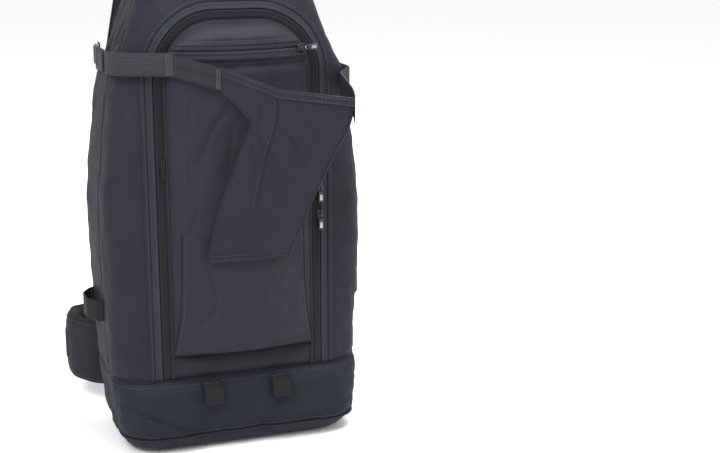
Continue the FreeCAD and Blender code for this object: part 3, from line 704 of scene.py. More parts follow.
def corner_crease(x, z):
    """A long diagonal fold low on each front corner of the base pouch, deeper on the left."""
    total = 0.0
    for side, depth, (x0, z0), (x1, z1) in CORNER_FOLDS:
        along = ((abs(x) - x1) * (x0 - x1) + (z - z1) * (z0 - z1)) / ((x0 - x1) ** 2 + (z0 - z1) ** 2)
        if x * side <= 0 or not -0.25 < along < 1.3:
            continue
        off = ((abs(x) - x1) * (z0 - z1) - (z - z1) * (x0 - x1)) / math.hypot(x0 - x1, z0 - z1)
        fade = ease(along, -0.25, 0.15) * (1 - ease(along, 0.9, 1.3))
        total += depth * fade * (0.8 * bump_at(off, 6, 5) - bump_at(off, 0, 2.6))
    return total


def shell_wrinkle(x, y, z, nx, ny):
    """How far the cloth of the shell stands in or out, mm."""
    if ny > 0.6:
        return -0.6  # flat behind the pads
    crown = 3.5 * ease(abs(nx), 0.3, 0.9) * ease(z, 90, 200) * (1 - ease(z, 400, 520))
    calm = ease(arch_distance(x, z), 14, 34) if y < -30 and z > SEAM - 4 else 1.0
    folds = 2.8 * soft_noise((x, y, z * 0.5), 50, 3) + 1.4 * soft_noise((x * 0.7, y * 0.7, z), 21, 8)
    folds -= 2.3 * creases((x * 1.1, y * 1.1 + z * 0.25, z * 0.55), 44, 14)
    pull = bump_at(z, 440, 30) * ease(abs(nx), 0.2, 0.8)
    folds += 0.9 * pull * math.sin((z - 440 + 0.35 * y) / 4.4)
    pucker = math.exp(-abs(z - SEAM) / 10) * 0.9 * soft_noise((x, y, z * 0.1), 7, 5)
    slump = 0.0
    if z < SEAM:
        belly = math.sin(math.pi * min(max(z / SEAM, 0), 1))
        slump = 2.6 * soft_noise((x * 1.2 + y * 0.9, y, z * 1.4), 30, 11) + 1.0 * soft_noise((x, y, z), 15, 2)
        slump = belly * (slump - 1.9 * creases((x * 0.8 + z * 0.7, y, z * 1.1), 30, 23, 0.2))
        if ny < -0.3:
            slump += corner_crease(x, z)
    top = ease(z, 500, 560) * 1.8 * soft_noise((x, y * 0.6, z), 40, 21)
    if ny < -0.3 and z > ZIP_TOP:
        top += 1.5 * ease(z, 508, 518) * (1 - ease(z, 536, 560)) * soft_noise((x, 0, z * 0.2), 8, 6)
    ridge = -1.3 * bump_at(abs(x), 0, 2.2) * ease(z, 508, 516) if ny < -0.6 else 0.0
    return crown + calm * (folds + pucker + top) + slump + ridge


def middle_of(face, points):
    return [sum(points[i][k] for i in face) / len(face) for k in range(len(points[0]))]


def looks_in(face):
    """Whether a face of the shell looks towards its middle."""
    c = face.center / MM
    middle = Vector((0, -4, min(max(c.z, 60), 520)))
    return face.normal.dot((c - middle).normalized()) < -0.25


def build_shell():
    """The pack's sides, back, top and front rim, as one thin skin open at the horseshoe."""
    zs = [FOOT + k * 4.1 for k in range(16)] + [86, 87.4, 88.6, 90]
    zs += [94 + (CROWN - 94) * k / 124 for k in range(125)]
    points, uvs = [], []
    for z in zs:
        for x, y, nx, ny in shell_ring(z):
            push = shell_wrinkle(x, y, z, nx, ny) - (1.2 if abs(z - SEAM) < 1.5 else 0)
            points.append((x + nx * push, y + ny * push, z))
            uvs.append((x + y, z))
    rings = len(zs)
    start = (rings - 1) * COLUMNS
    middle = Vector((0, 18, CROWN + 3))
    for share in (0.8, 0.55, 0.28):  # a lid of shrinking rings closes the top
        rings += 1
        for j in range(COLUMNS):
            point = middle.lerp(Vector(points[start + j]), share)
            point.z = CROWN + 2.6 * (1 - share**2) + 0.8 * soft_noise(point, 24, 4)
            points.append(tuple(point))
            uvs.append((point.x, point.y))
    faces = grid_faces(rings, COLUMNS, True)
    edge = (rings - 1) * COLUMNS
    faces += [(edge + j, edge + (j + 1) % COLUMNS, len(points)) for j in range(COLUMNS)]
    points.append(tuple(middle))
    uvs.append((0, 0))

    def in_hole(face):
        x, y, z = middle_of(face, points)
        return y < -20 and SEAM + 1.5 < z and arch_distance(x, z) < 2.5

    faces = [face for face in faces if not in_hole(face)]
    shell = make("shell", points, faces, [MAT[name] for name in LOOKS], uvs, out=False)
    bm = bmesh.new()
    bm.from_mesh(shell.data)
    bmesh.ops.delete(bm, geom=[v for v in bm.verts if not v.link_faces], context="VERTS")
    for face in bm.faces:
        z = face.calc_center_median().z / MM
        # faces above the yoke take the lighter upper nylon: painted top light
        face.material_index = LOOKS["base" if z < SEAM else "upper" if z > YOKE else "side"]
    bm.to_mesh(shell.data)
    bm.free()
    facing_out(shell)
    solid = modify(shell, "SOLIDIFY", thickness=2.6 * MM, offset=-1, use_even_offset=True)
    solid.material_offset, solid.material_offset_rim = 1, 0
    apply_all(shell)
    for face in shell.data.polygons:
        if face.material_index not in (LOOKS["side"], LOOKS["upper"], LOOKS["base"]) or looks_in(face):
            face.material_index = LOOKS["lining"]
    settle(shell, "pack", ["main_shell"])


def build_base():
    """The tougher cloth under the pack, which joins the shell's lower edge."""
    points, uvs = [], []
    zs = [0, 1.5, 3.5, 6, 9, 12, 15, 17.5, 19.6]
    for z in zs:
        for x, y, nx, ny in shell_ring(z):
            push = 0.9 * soft_noise((x, y, z), 16, 6) * ease(z, 2, 8)
            push += (shell_wrinkle(x, y, 20.4, nx, ny) - 0.5 - push) * ease(z, 9, 19)
            points.append((x + nx * push, y + ny * push, z))
            uvs.append((x + y, z))
    faces = grid_faces(len(zs), COLUMNS, True)
    edge = 0
    for share in (0.93, 0.7, 0.4, 0.15):
        after = len(points)
        for j in range(COLUMNS):
            x, y, _ = points[j]
            points.append((x * share, -3 + (y + 3) * share, 0.0))
            uvs.append((x * share, y * share))
            k = (j + 1) % COLUMNS
            faces.append((edge + k, edge + j, after + j, after + k))
        edge = after
    faces.append(tuple(range(edge, edge + COLUMNS)))
    base = make("base_cloth", points, faces, [MAT["foot"], MAT["lining"]], uvs)
    refine(base, "SOLIDIFY", thickness=2.0 * MM, offset=-1, material_offset=1)
    settle(base, "pack", ["base_panel"])


def ring_path(z, lift):
    out = []
    for x, y, nx, ny in shell_ring(z):
        push = shell_wrinkle(x, y, z, nx, ny) + lift
        out.append(Vector((x + nx * push, y + ny * push, z)))
    return out


def build_shell_seams():
    for name, z, lift, radius in (
        ("base", 20.2, 0.9, 1.5), ("pouch", SEAM, -0.3, 1.35), ("crown", YOKE, -0.2, 1.2),
    ):
        cord = tube(f"{name}_piping", ring_path(z, lift), radius, "piping", closed=True)
        settle(cord, "pack")
    for name, z, lift in (("base_stitch", 25.0, 0.2), ("pouch_stitch", SEAM - 5.5, 0.15)):
        ring = ring_path(z, lift)
        normals = [Vector((nx, ny, 0)) for _, _, nx, ny in shell_ring(z)]
        sew(name, ring + ring[:1], normals + normals[:1], "pack")
    for name, s in SIDES:  # side seams, a little behind the front corners, from the pouch to the crown
        path, out = [], Vector((s, 0, 0))
        for k in range(110):
            z = SEAM + 1.5 + (572 - SEAM) * k / 109
            half, front, back, radius = ramp(LEVELS, z)
            y = min(front + radius + 8, back - radius)
            path.append(Vector((s * (half + shell_wrinkle(s * half, y, z, s, 0)), y, z)))
        cord = tube(f"side_piping_{name}", [p - out * 0.5 for p in path], 1.3, "piping", out)
        settle(cord, "pack")
        row = [p + Vector((0, 5, 0)) + out * 0.15 for p in path]
        sew(f"side_stitch_{name}", row, out, "pack")
    # the upper panel's centre seam, from the arch to the crown
    path = [Vector((0, front_y(0, z) - 0.2, z)) for z in [ZIP_TOP + 14 + k * 2.2 for k in range(29)]]
    ridge = tube("upper_seam", [p + BACK * 0.5 for p in path], 1.1, "piping", (0, -1, 0.3))
    settle(ridge, "pack")
    for name, s in SIDES:
        row = [p + Vector((s * 2.6, -0.2, 0)) for p in path]
        sew(f"upper_stitch_{name}", row, (0, -0.8, 0.6), "pack", length=2.2)


# ---------------------------------------------------------------- main zip
def arch_band(name, profile, material, body, nodes=()):
    """A band along the horseshoe. profile holds (offset from the zip line, lift) pairs round its section."""
    count = 420
    verts, uvs = [], []
    for i in range(count + 1):
        for offset, lift in profile:
            x, z = arch_point(offset, i / count)
            verts.append((x, front_y(x, z) - lift, z))
            uvs.append((i * 2.9, offset))
    settle(make(name, verts, tube_faces(count + 1, len(profile)), MAT[material], uvs), body, nodes)


def arch_stitch(name, offset, lift, body):
    points, normals = [], []
    for i in range(401):
        x, z = arch_point(offset, i / 400)
        points.append(Vector((x, front_y(x, z) - lift, z)))
        slope = (front_y(x, z + 1) - front_y(x, z - 1)) / 2
        lean = (front_y(x + 1, z) - front_y(x - 1, z)) / 2
        normals.append(Vector((lean, -1, slope)).normalized())
    sew(name, points, normals, body)


def bead(s, far):
    """A tape's section: a rounded bead over the coil beside the zip line, then the flat tape."""
    profile = [(0.35, 0.35), (0.3, 1.0), (0.8, 1.5), (1.7, 1.62), (2.6, 1.4), (3.3, 0.95), (4.6, 0.85)]
    return [(s * a, b) for a, b in profile + [(far, 0.85), (far, 0.3)]]


LIP_OUTER = [(9.0, 0.9), (8.6, 1.3), (9.4, 1.75), (12.5, 1.5), (15.5, 0.5), (15.5, -0.6), (9.2, 0.2)]
LIP_PANEL = [(-11.0, 0.9), (-10.9, 2.2), (-11.5, 3.1), (-12.6, 3.4), (-13.4, 2.6), (-13.2, 0.9)]
HEM = ((90.4, 0.3), (90.4, 1.3), (96, 1.5), (DOOR_FOOT + 3, 1.2), (DOOR_FOOT + 3, 0.3))  # height, lift


def build_main_zip():
    arch_band("zip_tape_outer", bead(1, 11.2), "tape", "pack", ["main_zip_tape_outer"])
    arch_band("zip_lip_outer", LIP_OUTER, "side", "pack")
    arch_stitch("zip_stitch_outer", 11.6, 1.45, "pack")
    # the inner tape takes the darker copy of the tape: painted shade
    arch_band("zip_tape_inner", bead(-1, 12.2), "tape_painted_shade", "front_panel", ["main_zip_tape_inner"])
    arch_stitch("zip_stitch_inner", -10.4, 0.9, "front_panel")
    xs = [-DOOR_HALF + 2 * DOOR_HALF * k / 44 for k in range(45)]
    points = [(x, front_y(x, z) - lift, z) for x in xs for z, lift in HEM]
    faces = grid_faces(45, 5) + [(i * 5 + 4, i * 5, (i + 1) * 5, (i + 1) * 5 + 4) for i in range(44)]
    settle(make("door_hem", points, faces, MAT["front"]), "front_panel")


# ---------------------------------------------------------------- front panel
def door_edge(x, z):
    """Distance in from the front panel's edge."""
    return min(-(arch_distance(x, z) + (ZIP_HALF - DOOR_HALF)), z - DOOR_FOOT)


def door_reach(z):
    """Half the front panel's width at a height."""
    low, radius = ZIP_TOP - ARCH, ARCH - (ZIP_HALF - DOOR_HALF)
    if z <= low:
        return DOOR_HALF
    return ZIP_HALF - ARCH + math.sqrt(max(radius**2 - (z - low) ** 2, 0))


def arc_y(x, radius):
    """A circle round the pocket slider's own axis."""
    return PIVOT_Y - math.sqrt(radius**2 - x * x)


def door_wrinkle(x, z):
    calm = ease(door_edge(x, z), 2, 16) * ease(abs(z - POCKET), 9, 17)
    folds = 2.7 * soft_noise((x * 1.2 + z * 0.35, 0, z * 0.45), 36, 12)
    folds -= 2.3 * creases((x * 1.1, 0, z * 0.6), 38, 27)
    folds += 0.75 * soft_noise((x, 0, z * 0.7), 13, 31)
    if z > POCKET:
        folds += 1.1 * soft_noise((x * 0.9 - z * 0.8, 0, z), 16, 7)
        edge = math.exp(-max(door_edge(x, z) - 3, 0) / 12)
        folds += 1.3 * edge * soft_noise((x * 1.1, 0, z * 0.4), 8, 19)
    return calm * folds


def door_y(x, z):
    """The front panel's surface: a steep edge, a crown, and a shallow channel for the pocket zip."""
    inside = max(door_edge(x, z), 0.0)
    low = front_y(x, z) - 1.0
    share = 0.66 * ease(inside, 0, 5) + 0.34 * ease(inside, 0, 20)
    y = low + (arc_y(x, DOOR_RADIUS) - low) * share
    channel = (1 - ease(abs(z - POCKET), 8.5, 14)) * ease(inside, 0, 4.2)
    y += (arc_y(x, ZIP_RADIUS) - y) * channel
    return y + 3.2 * bump_at(z, POCKET - 17, 4.5) * ease(inside, 3, 16)


def to_door_edge(x, z):
    """Slides a point onto the panel's true edge."""
    for _ in range(6):
        gx = (door_edge(x + 0.2, z) - door_edge(x - 0.2, z)) / 0.4
        gz = (door_edge(x, z + 0.2) - door_edge(x, z - 0.2)) / 0.4
        size = gx * gx + gz * gz
        if size < 1e-6:
            break
        gap = door_edge(x, z)
        x, z = x - gap * gx / size, z - gap * gz / size
    return x, z


def build_door():
    columns, step_z = 67, 2.6
    step_x = 2 * DOOR_HALF / (columns - 1)
    rows = int((ZIP_TOP - 11.5 - DOOR_FOOT) / step_z) + 2
    grid = [(-DOOR_HALF + j * step_x, DOOR_FOOT + i * step_z) for i in range(rows) for j in range(columns)]
    faces = [face for face in grid_faces(rows, columns) if door_edge(*middle_of(face, grid)) > 0.4]
    count = {}
    for face in faces:
        for pair in zip(face, face[1:] + face[:1]):
            count[tuple(sorted(pair))] = count.get(tuple(sorted(pair)), 0) + 1
    for k in {k for pair, times in count.items() if times == 1 for k in pair}:
        grid[k] = to_door_edge(*grid[k])
    used = sorted({k for face in faces for k in face})
    order = {k: i for i, k in enumerate(used)}
    points = [(x, door_y(x, z) - door_wrinkle(x, z), z) for x, z in (grid[k] for k in used)]
    faces = [tuple(order[k] for k in face) for face in faces]
    door = make("panel_cloth", points, faces, [MAT["front"], MAT["upper"]], [grid[k] for k in used])
    for face in door.data.polygons:
        # above the pocket zip the panel takes the lighter upper nylon: painted top light
        face.material_index = 1 if face.center.z / MM > POCKET else 0
    if door.data.polygons[len(door.data.polygons) // 2].normal.y > 0:
        door.data.flip_normals()
    refine(door, "SOLIDIFY", thickness=1.6 * MM, offset=-1)
    settle(door, "front_panel", ["front_panel"])
    arch_band("panel_lip", LIP_PANEL, "front", "front_panel")


def build_lining():
    half, top, low, arch = DOOR_HALF - 3.5, ZIP_TOP - 15, DOOR_FOOT + 3, ARCH - 15
    rows, columns = 70, 34
    points = []
    for i in range(rows):
        z = low + (top - low) * i / (rows - 1)
        reach = half if z < top - arch else half - arch + math.sqrt(max(arch**2 - (z - top + arch) ** 2, 0))
        for j in range(columns):
            x = -reach + 2 * reach * j / (columns - 1)
            points.append((x, front_y(x, z) + 0.9 + 0.5 * soft_noise((x, 0, z), 22, 5), z))
    lining = make("panel_lining_cloth", points, grid_faces(rows, columns), MAT["lining"], out=False)
    refine(lining, "SOLIDIFY", thickness=0.9 * MM, offset=0)
    settle(lining, "front_panel", ["front_panel_lining"])


def door_strip(name, z0, z1, x0, x1, profile, material, nodes=(), slot="zip_tape"):
    """A strip across the front panel. profile holds (height share, lift) pairs round its section."""
    count = 90
    verts, uvs = [], []
    for i in range(count + 1):
        for share, lift in profile:
            z = z0 + (z1 - z0) * share
            reach = door_reach(z) - 0.8
            x = max(min(x0 + (x1 - x0) * i / count, reach), -reach)
            verts.append((x, door_y(x, z) - lift, z))
            uvs.append((x, z))
    strip = make(name, verts, tube_faces(count + 1, len(profile)), MAT[material], uvs)
    settle(strip, "front_panel", nodes)


ZIP_FLAT = [(0, 0.1), (0, 1.0), (0.25, 1.35), (0.75, 1.15), (1, 0.9), (1, 0.1)]
ZIP_FOLD = [(0, 0.2), (0, 1.2), (0.12, 1.9), (0.35, 2.0), (0.8, 1.4), (1, 0.2)]
GARAGE = [(0, 0.4), (0, 2.0), (0.5, 2.4), (1, 2.0), (1, 0.4)]


def build_pocket_zip():
    """A reversed-coil zip set between two folded cloth edges."""
    reach = 81.0
    # the upper lip takes the lighter upper nylon, painted top light, like the panel above it
    for name, s, cloth, row in (("upper", 1, "upper", 67), ("lower", -1, "front", 74)):
        for part, profile, near, far in (("tape", ZIP_FLAT, 0.35, 7.6), ("lip", ZIP_FOLD, 5.2, 11.5)):
            if s < 0:
                profile, near, far = [(1 - share, lift) for share, lift in profile], -far, -near
            material, nodes, slot = cloth, (), "panel_fabric"
            if part == "tape":
                material, nodes, slot = "tape", [f"pocket_zip_tape_{name}"], "zip_tape"
            heights = POCKET + near, POCKET + far
            door_strip(f"pocket_{part}_{name}", *heights, -reach, reach, profile, material, nodes, slot)
        z = POCKET + s * 7.8
        points = [Vector((x, door_y(x, z) - 1.95, z)) for x in [-row + 2 * row * k / 80 for k in range(81)]]
        leans = [(door_y(p.x + 1, z) - door_y(p.x - 1, z)) / 2 for p in points]
        normals = [Vector((lean, -1, 0)).normalized() for lean in leans]
        sew(f"pocket_stitch_{name}", points, normals, "front_panel")
    door_strip("pocket_garage", POCKET - 7, POCKET + 7, 70.8, 80, GARAGE, "webbing", slot="webbing")


PANEL_SEAM = ((70, 262), (71, 205), (73.5, 168), (78, 138), (81.3, 119))  # x, z


def build_door_details():
    """A curved side seam low on the panel, and a narrow tag beside the zip."""

    def lay(path, lift):
        return [Vector((p.x, door_y(p.x, p.z) - door_wrinkle(p.x, p.z) + lift, p.z)) for p in path]

    for name, s in SIDES:
        path = rounded([Vector((s * x, 0, z)) for x, z in PANEL_SEAM], [0, 60, 60, 60, 0], 2.5)
        out = Vector((s * 0.3, -1, 0)).normalized()
        cord = tube(f"panel_seam_{name}", lay(path, 0.25), 1.0, "piping", out)
        settle(cord, "front_panel")
        row = lay([p + Vector((-s * 3.6, 0, 1)) for p in path], -0.15)
        sew(f"panel_stitch_{name}", row, out, "front_panel")
    x, low, high = -86.2, 318, 345
    rise = [(z, 1.1 * math.sin(math.pi * (z - low) / 26)) for z in range(low, high, 2)]
    tag = [Vector((x, front_y(x, z) - 1.9 - lift, z)) for z, lift in rise]
    strip = webbing("zip_tag", tag, (1, 0, 0), 5.0, 0.8, "webbing_dark", FORWARD)
    settle(strip, "front_panel")


# ---------------------------------------------------------------- sliders and pullers
def place_mesh(obj, place, turn):
    """Turns and moves a mesh built round the origin, and leaves the object where it was."""
    obj.data.transform(Matrix.Translation(Vector(place) * MM) @ turn.to_4x4())
    obj.data.update()
    return obj


def axes(along, out):
    """The rotation whose X lies along the zip and whose Z points out of the cloth."""
    along, out = Vector(along).normalized(), Vector(out).normalized()
    return Matrix((along, out.cross(along), out)).transposed()


def build_slider(name, place, along, out):
    """A zip slider seen from above: a waisted plate with a bridge across it."""
    plate = rounded_box(f"{name}_plate", (-5, -4.3, 0.1), (5, 4.3, 1.9), 0.8, "slider")
    for vertex in plate.data.vertices:
        vertex.co.y *= 1 - 0.16 * ease(-vertex.co.x / MM, -1, 5)
    turns = [math.pi * k / 12 for k in range(13)]
    bridge = [Vector((-2.9 * math.cos(a), 0, 1.7 + 3.1 * math.sin(a) ** 0.7)) for a in turns]
    slider = join(f"{name}_metal", [plate, tube(f"{name}_bridge", bridge, 1.05, "slider", BACK)])
    settle(place_mesh(slider, place, axes(along, out)), name, [name])


GRIP_END = 17.5


def build_puller(name, place, way, out):
    """A short metal arm, a dark moulded grip and a bright plate set in its middle."""
    parts = []
    for y in (-1.9, 1.9):
        corners = (-1.2, y - 0.65, -0.6), (5.5, y + 0.65, 0.6)
        parts.append(rounded_box(f"{name}_arm", *corners, 0.4, "slider", 2))
    parts.append(rounded_box(f"{name}_end", (4.4, -2.5, -0.7), (6.4, 2.5, 0.7), 0.5, "slider", 2))
    parts.append(tube(f"{name}_pin", [Vector((0, -2.5, 0)), Vector((0, 2.5, 0))], 0.6, "bright", UP))
    grip = rounded_box(f"{name}_hand", (5.6, -3.7, -1.0), (GRIP_END, 3.7, 1.0), 0.95, "plastic")
    for vertex in grip.data.vertices:
        share = (vertex.co.x / MM - 4) / (GRIP_END - 2)
        vertex.co.y *= 0.74 + 0.26 * math.sin(math.pi * min(max(share, 0), 1))
    inlay = rounded_box(f"{name}_inlay", (8.2, -1.7, 0.7), (GRIP_END - 2.6, 1.7, 1.35), 0.5, "bright", 2)
    parts += [grip, inlay]
    for x in (6.6, 7.5):
        parts.append(rounded_box(f"{name}_rib", (x, -2.4, 0.85), (x + 0.4, 2.4, 1.2), 0.15, "plastic", 1))
    puller = place_mesh(join(f"{name}_grip", parts), place, axes(way, out))
    settle(puller, name, [name])


def pivot_of(joint):
    """Where a joint's axis sits at rest, in millimetres."""
    return next(Vector(entry["pos_m"]) / MM for entry in frame["joints"] if entry["name"] == joint)


def build_sliders():
    low, high = box_mm("pocket_slider")
    centre = (low + high) / 2
    angle = math.atan2(centre.x, PIVOT_Y - centre.y)
    out = Vector((math.sin(angle), -math.cos(angle), 0))
    along = Vector((math.cos(angle), math.sin(angle), 0))
    build_slider("pocket_slider", Vector((0, PIVOT_Y, POCKET)) + out * (ZIP_RADIUS + 1.7), along, out)
    build_puller("pocket_puller", pivot_of("pocket_puller_swing"), along, out)
    for level, up in (("upper", -1), ("lower", 1)):
        low, high = box_mm(f"main_slider_{level}")
        face = Vector(((low.x + high.x) / 2, high.y, (low.z + high.z) / 2))
        build_slider(f"main_slider_{level}", face, (0, 0, up), FORWARD)
        build_puller(f"main_puller_{level}", pivot_of(f"main_puller_{level}_swing"), -UP, FORWARD)


# ---------------------------------------------------------------- helmet flap and its straps
# height, then x and y of the left edge, the fold and the right edge
FLAP = [
    (230, (-46, -111.6, 0, -116.2, 46, -111.6)), (290, (-34, -120.5, 6, -128.5, 62, -139.5)),
    (355, (-14, -136.5, 14, -148.5, 80, -172.5)), (398, (-2.5, -150, 20, -167.5, 90.5, -199)),
    (426, (-2.0, -152, 20, -170.5, 92, -205)),
]
FLAP_FOOT, ARM_FOOT = 231.5, 391  # heights
STRAP_END = ((-31.5, -129, 423.5), (-31.5, -129, 447.5))


def flap_point(u, v):
    """A point of the flap: u runs 0 to 2 from the left edge over the fold to the right edge, v runs up."""
    right = u >= 1
    share = u - 1 if right else u
    top = 427 - 8 * share if right else 436 - 9 * share
    z = FLAP_FOOT + (top - FLAP_FOOT) * v
    row = ramp(FLAP, min(z, 426))
    x0, y0, x1, y1 = row[2:] if right else row[:4]
    x, y = x0 + (x1 - x0) * share, y0 + (y1 - y0) * share
    loose = ease(v, 0.02, 0.2)
    belly = 4 * share * (1 - share) * (1 if right else 0.5)
    lift = 3.2 * belly * math.sin(math.pi * min(v * 1.15, 1))
    lift += 2.4 * soft_noise((x * 0.8, 0, z * 0.5), 36, 7) * loose * (1 - ease(v, 0.9, 1))
    lift -= 2.0 * creases((x + z * 0.4, 0, z * 0.5), 34, 33) * loose * (1 - ease(v, 0.88, 1))
    lift += 0.7 * soft_noise((x + z * 0.6, 0, z * 0.4), 14, 17) * loose * (1 - ease(v, 0.93, 1))
    lift -= 1.6 * bump_at(u, 1, 0.10) * ease(v, 0.55, 0.95)
    return Vector((x, y - lift, z))


def arm_point(t, v, end):
    """The flap's left arm: t runs from the strap's end to a point of the flap's left edge, v runs up."""
    point = Vector(STRAP_END[0]).lerp(Vector(STRAP_END[1]), v).lerp(end, t)
    bow = math.sin(math.pi * t)
    return point + Vector((0, -1.2 * bow, 2.2 * bow * (1 - v)))


def ribbon(name, rows, thick, material, across=8):
    """A thin band through pairs of (low, high) points, thickened both ways."""
    points, uvs = [], []
    for (a, b), where in zip(rows, lengths([(a + b) / 2 for a, b in rows])):
        for k in range(across + 1):
            points.append(a.lerp(b, k / across))
            uvs.append((where, (b - a).length * (k / across - 0.5)))
    band = make(name, points, grid_faces(len(rows), across + 1), MAT[material], uvs, out=False)
    modify(band, "SOLIDIFY", thickness=thick * MM, offset=0, use_even_offset=True)
    return bevel(band, 0.3, 60)


def between(start, end, count, bow=(0, 0, 0)):
    """Rows from one (low, high) pair to another, moved by bow halfway."""
    rows = []
    for k in range(count + 1):
        shift = Vector(bow) * math.sin(math.pi * k / count)
        rows.append([Vector(a).lerp(Vector(b), k / count) + shift for a, b in zip(start, end)])
    return rows


def build_flap():
    body, slot = "helmet_flap", "flap_fabric"
    rows, columns, steps = 60, 54, 14
    points = [flap_point(2 * j / columns, i / rows) for i in range(rows + 1) for j in range(columns + 1)]
    faces = grid_faces(rows + 1, columns + 1)
    left, top, start = points[::columns + 1], points[-columns - 1:], len(points)
    first = next(i for i, point in enumerate(left) if point.z > ARM_FOOT)
    for i in range(first, rows + 1):
        v = (i - first) / (rows - first)
        points += [arm_point(k / steps, v, left[i]) for k in range(steps + 1)]
    faces += grid_faces(rows - first + 1, steps + 1, False, start)
    flap = make("flap_cloth", points, faces, MAT["flap"], [(p.x, p.z) for p in points], out=False)
    facing_out(refine(flap, "WELD", merge_threshold=0.3 * MM))
    refine(flap, "SOLIDIFY", thickness=1.1 * MM, offset=0, use_even_offset=True)
    settle(flap, body, ["helmet_flap", "flap_arm_left"])
    # a doubled hem along the top edge with two rows of stitching
    top = [arm_point(k / steps, 1, left[-1]) for k in range(steps)] + top
    hem = ribbon("flap_hem", [(p - UP * 9, p + UP * 0.8) for p in top], 2.6, "flap", 5)
    settle(hem, body)
    for drop in (1.6, 7.2):
        row = [p + Vector((0, -1.35, -drop)) for p in top]
        sew(f"flap_hem_stitch_{int(drop)}", row, Vector((0.3, -1, 0)).normalized(), body)
    # bound edges, and a dart down the fold
    right = [flap_point(2, k / 40) for k in range(41)]
    under = [flap_point(0, k / 40) for k in range(int(40 * (first / rows)) + 1)]
    under += [arm_point(1 - k / steps, 0, left[first]) for k in range(1, steps + 1)]
    dart = [flap_point(1, k / 50) + FORWARD * 0.5 for k in range(16, 50)]
    for name, path, radius in (("edge_right", right, 1.3), ("edge_left", under, 1.3), ("dart", dart, 0.8)):
        settle(tube(f"flap_{name}", path, radius, "flap", FORWARD), body)
    row = [flap_point(0.87, k / 50) + FORWARD * 0.6 for k in range(16, 49)]
    sew("flap_dart_stitch", row, (-0.6, -0.8, 0), body)
    # the seam at its foot
    seam = [flap_point(2 * k / 40, 0.0) + FORWARD * 0.3 for k in range(41)]
    foot = ribbon("flap_seam_band", [(p - UP, p + UP * 9) for p in seam], 2.4, "flap", 4)
    settle(foot, body)
    for rise in (1.5, 6.5):
        row = [p + Vector((0, -1.4, rise)) for p in seam]
        sew(f"flap_foot_stitch_{int(rise)}", row, FORWARD, body)


def paint(node, material):
    """Gives a piece of the frame that stays as it is its material."""
    materials = frame["nodes"][node].data.materials
    materials.clear()
    materials.append(MAT[material])


STRAPS = (  # side, its sign, (x, y) along the strap, bend radii, height
    ("left", -1, ((-138, -8), (-138, -76), (-108, -87.5), (-74, -100.5)), (0, 34, 20, 0), 448.5),
    ("right", 1, ((138, -8), (138, -62), (113.6, -98.5)), (0, 34, 0), 420.5),
)
STRAP_WIDTH = 25
LINKS = (  # side, then (x, y, low z, high z) at the strap and at the flap
    ("left", (-78.5, -99.2, 436.4, 460.6), (-31, -129.4, 423.4, 447.8)),
    ("right", (113.2, -99.5, 408.4, 432.6), (103.2, -152, 403, 430)),
)
RIGHT_ARM = (103.6, -150, 402.4, 429.6), (92.4, -204.4, 394, 423)
BARTACKS = (  # name, x, y, low z, high z, outward, rows
    ("left", -79.5, -100.0, 438, 459.5, (-0.4, -1, 0), 3), ("arm", -33.5, -129.8, 425, 446, (-0.5, -1, 0), 2),
    ("right", 113.9, -99.6, 410, 431, (1, -0.6, 0), 3),
)


def upright(x, y, low, high):
    return (x, y, low), (x, y, high)


def build_flap_straps():
    body = "helmet_flap"
    for name, s, path, radii, z in STRAPS:
        line = rounded([(x, y, z) for x, y in path], radii)
        line = [p + UP * (0.5 * math.sin(0.05 * k)) for k, p in enumerate(line)]
        strap = webbing(f"flap_strap_{name}", line, UP, STRAP_WIDTH, 1.7, "webbing", (s, -1, 0))
        settle(strap, body, [f"flap_webbing_{name}"])
        # the strap's tail is folded back on itself beside the hook and sewn
        tail = [p + Vector((s * 1.9, 0, 0)) for p in line if p.y > -44 and abs(p.x) > 130]
        tail = webbing(f"flap_strap_tail_{name}", tail, UP, STRAP_WIDTH - 1, 1.5, "webbing", (s, 0, 0))
        settle(tail, body)
        zigzag(f"strap_bartack_{name}", *upright(s * 141.0, -38, z - 9, z + 9), (s, 0, 0), body, 2)
    for name, start, end in LINKS:
        rows = between(upright(*start), upright(*end), 24)
        link = ribbon(f"flap_link_{name}_cloth", rows, 1.5, "webbing_link")
        settle(link, body, [f"flap_link_{name}"])
    rows = between(upright(*RIGHT_ARM[0]), upright(*RIGHT_ARM[1]), 26, (2.0, 0, -0.8))
    arm = ribbon("flap_arm_right_cloth", rows, 1.2, "flap")
    settle(arm, body, ["flap_arm_right"])
    for name, x, y, low, high, out, rows in BARTACKS:
        zigzag(f"flap_bartack_{name}", *upright(x, y, low, high), out, body, rows)
    for name, s in SIDES:
        paint(f"flap_hook_{name}", "slider")
        low, high = box_mm(f"side_tab_{name}")
        z = (low.z + high.z) / 2
        outer = (low.x if s < 0 else high.x) - s * 0.8
        wall = s * (ramp(LEVELS, z)[0] + shell_wrinkle(s * 130, high.y, z, s, 0) + 1.2)
        path = [(outer, low.y + 0.5), (outer, low.y + 20), (wall, high.y - 12), (wall, high.y + 6)]
        line, width = rounded([(x, y, z) for x, y in path], [0, 30, 30, 0], 2), high.z - low.z - 0.4
        tab = webbing(f"side_tab_cloth_{name}", line, UP, width, 1.4, "webbing_dark", (s, 0, 0))
        settle(tab, "pack", [f"side_tab_{name}"])
        ends = upright(wall + s * 0.9, high.y - 3, z - 8.5, z + 8.5)
        zigzag(f"side_tab_tack_{name}", *ends, (s, 0, 0), "pack", 2)


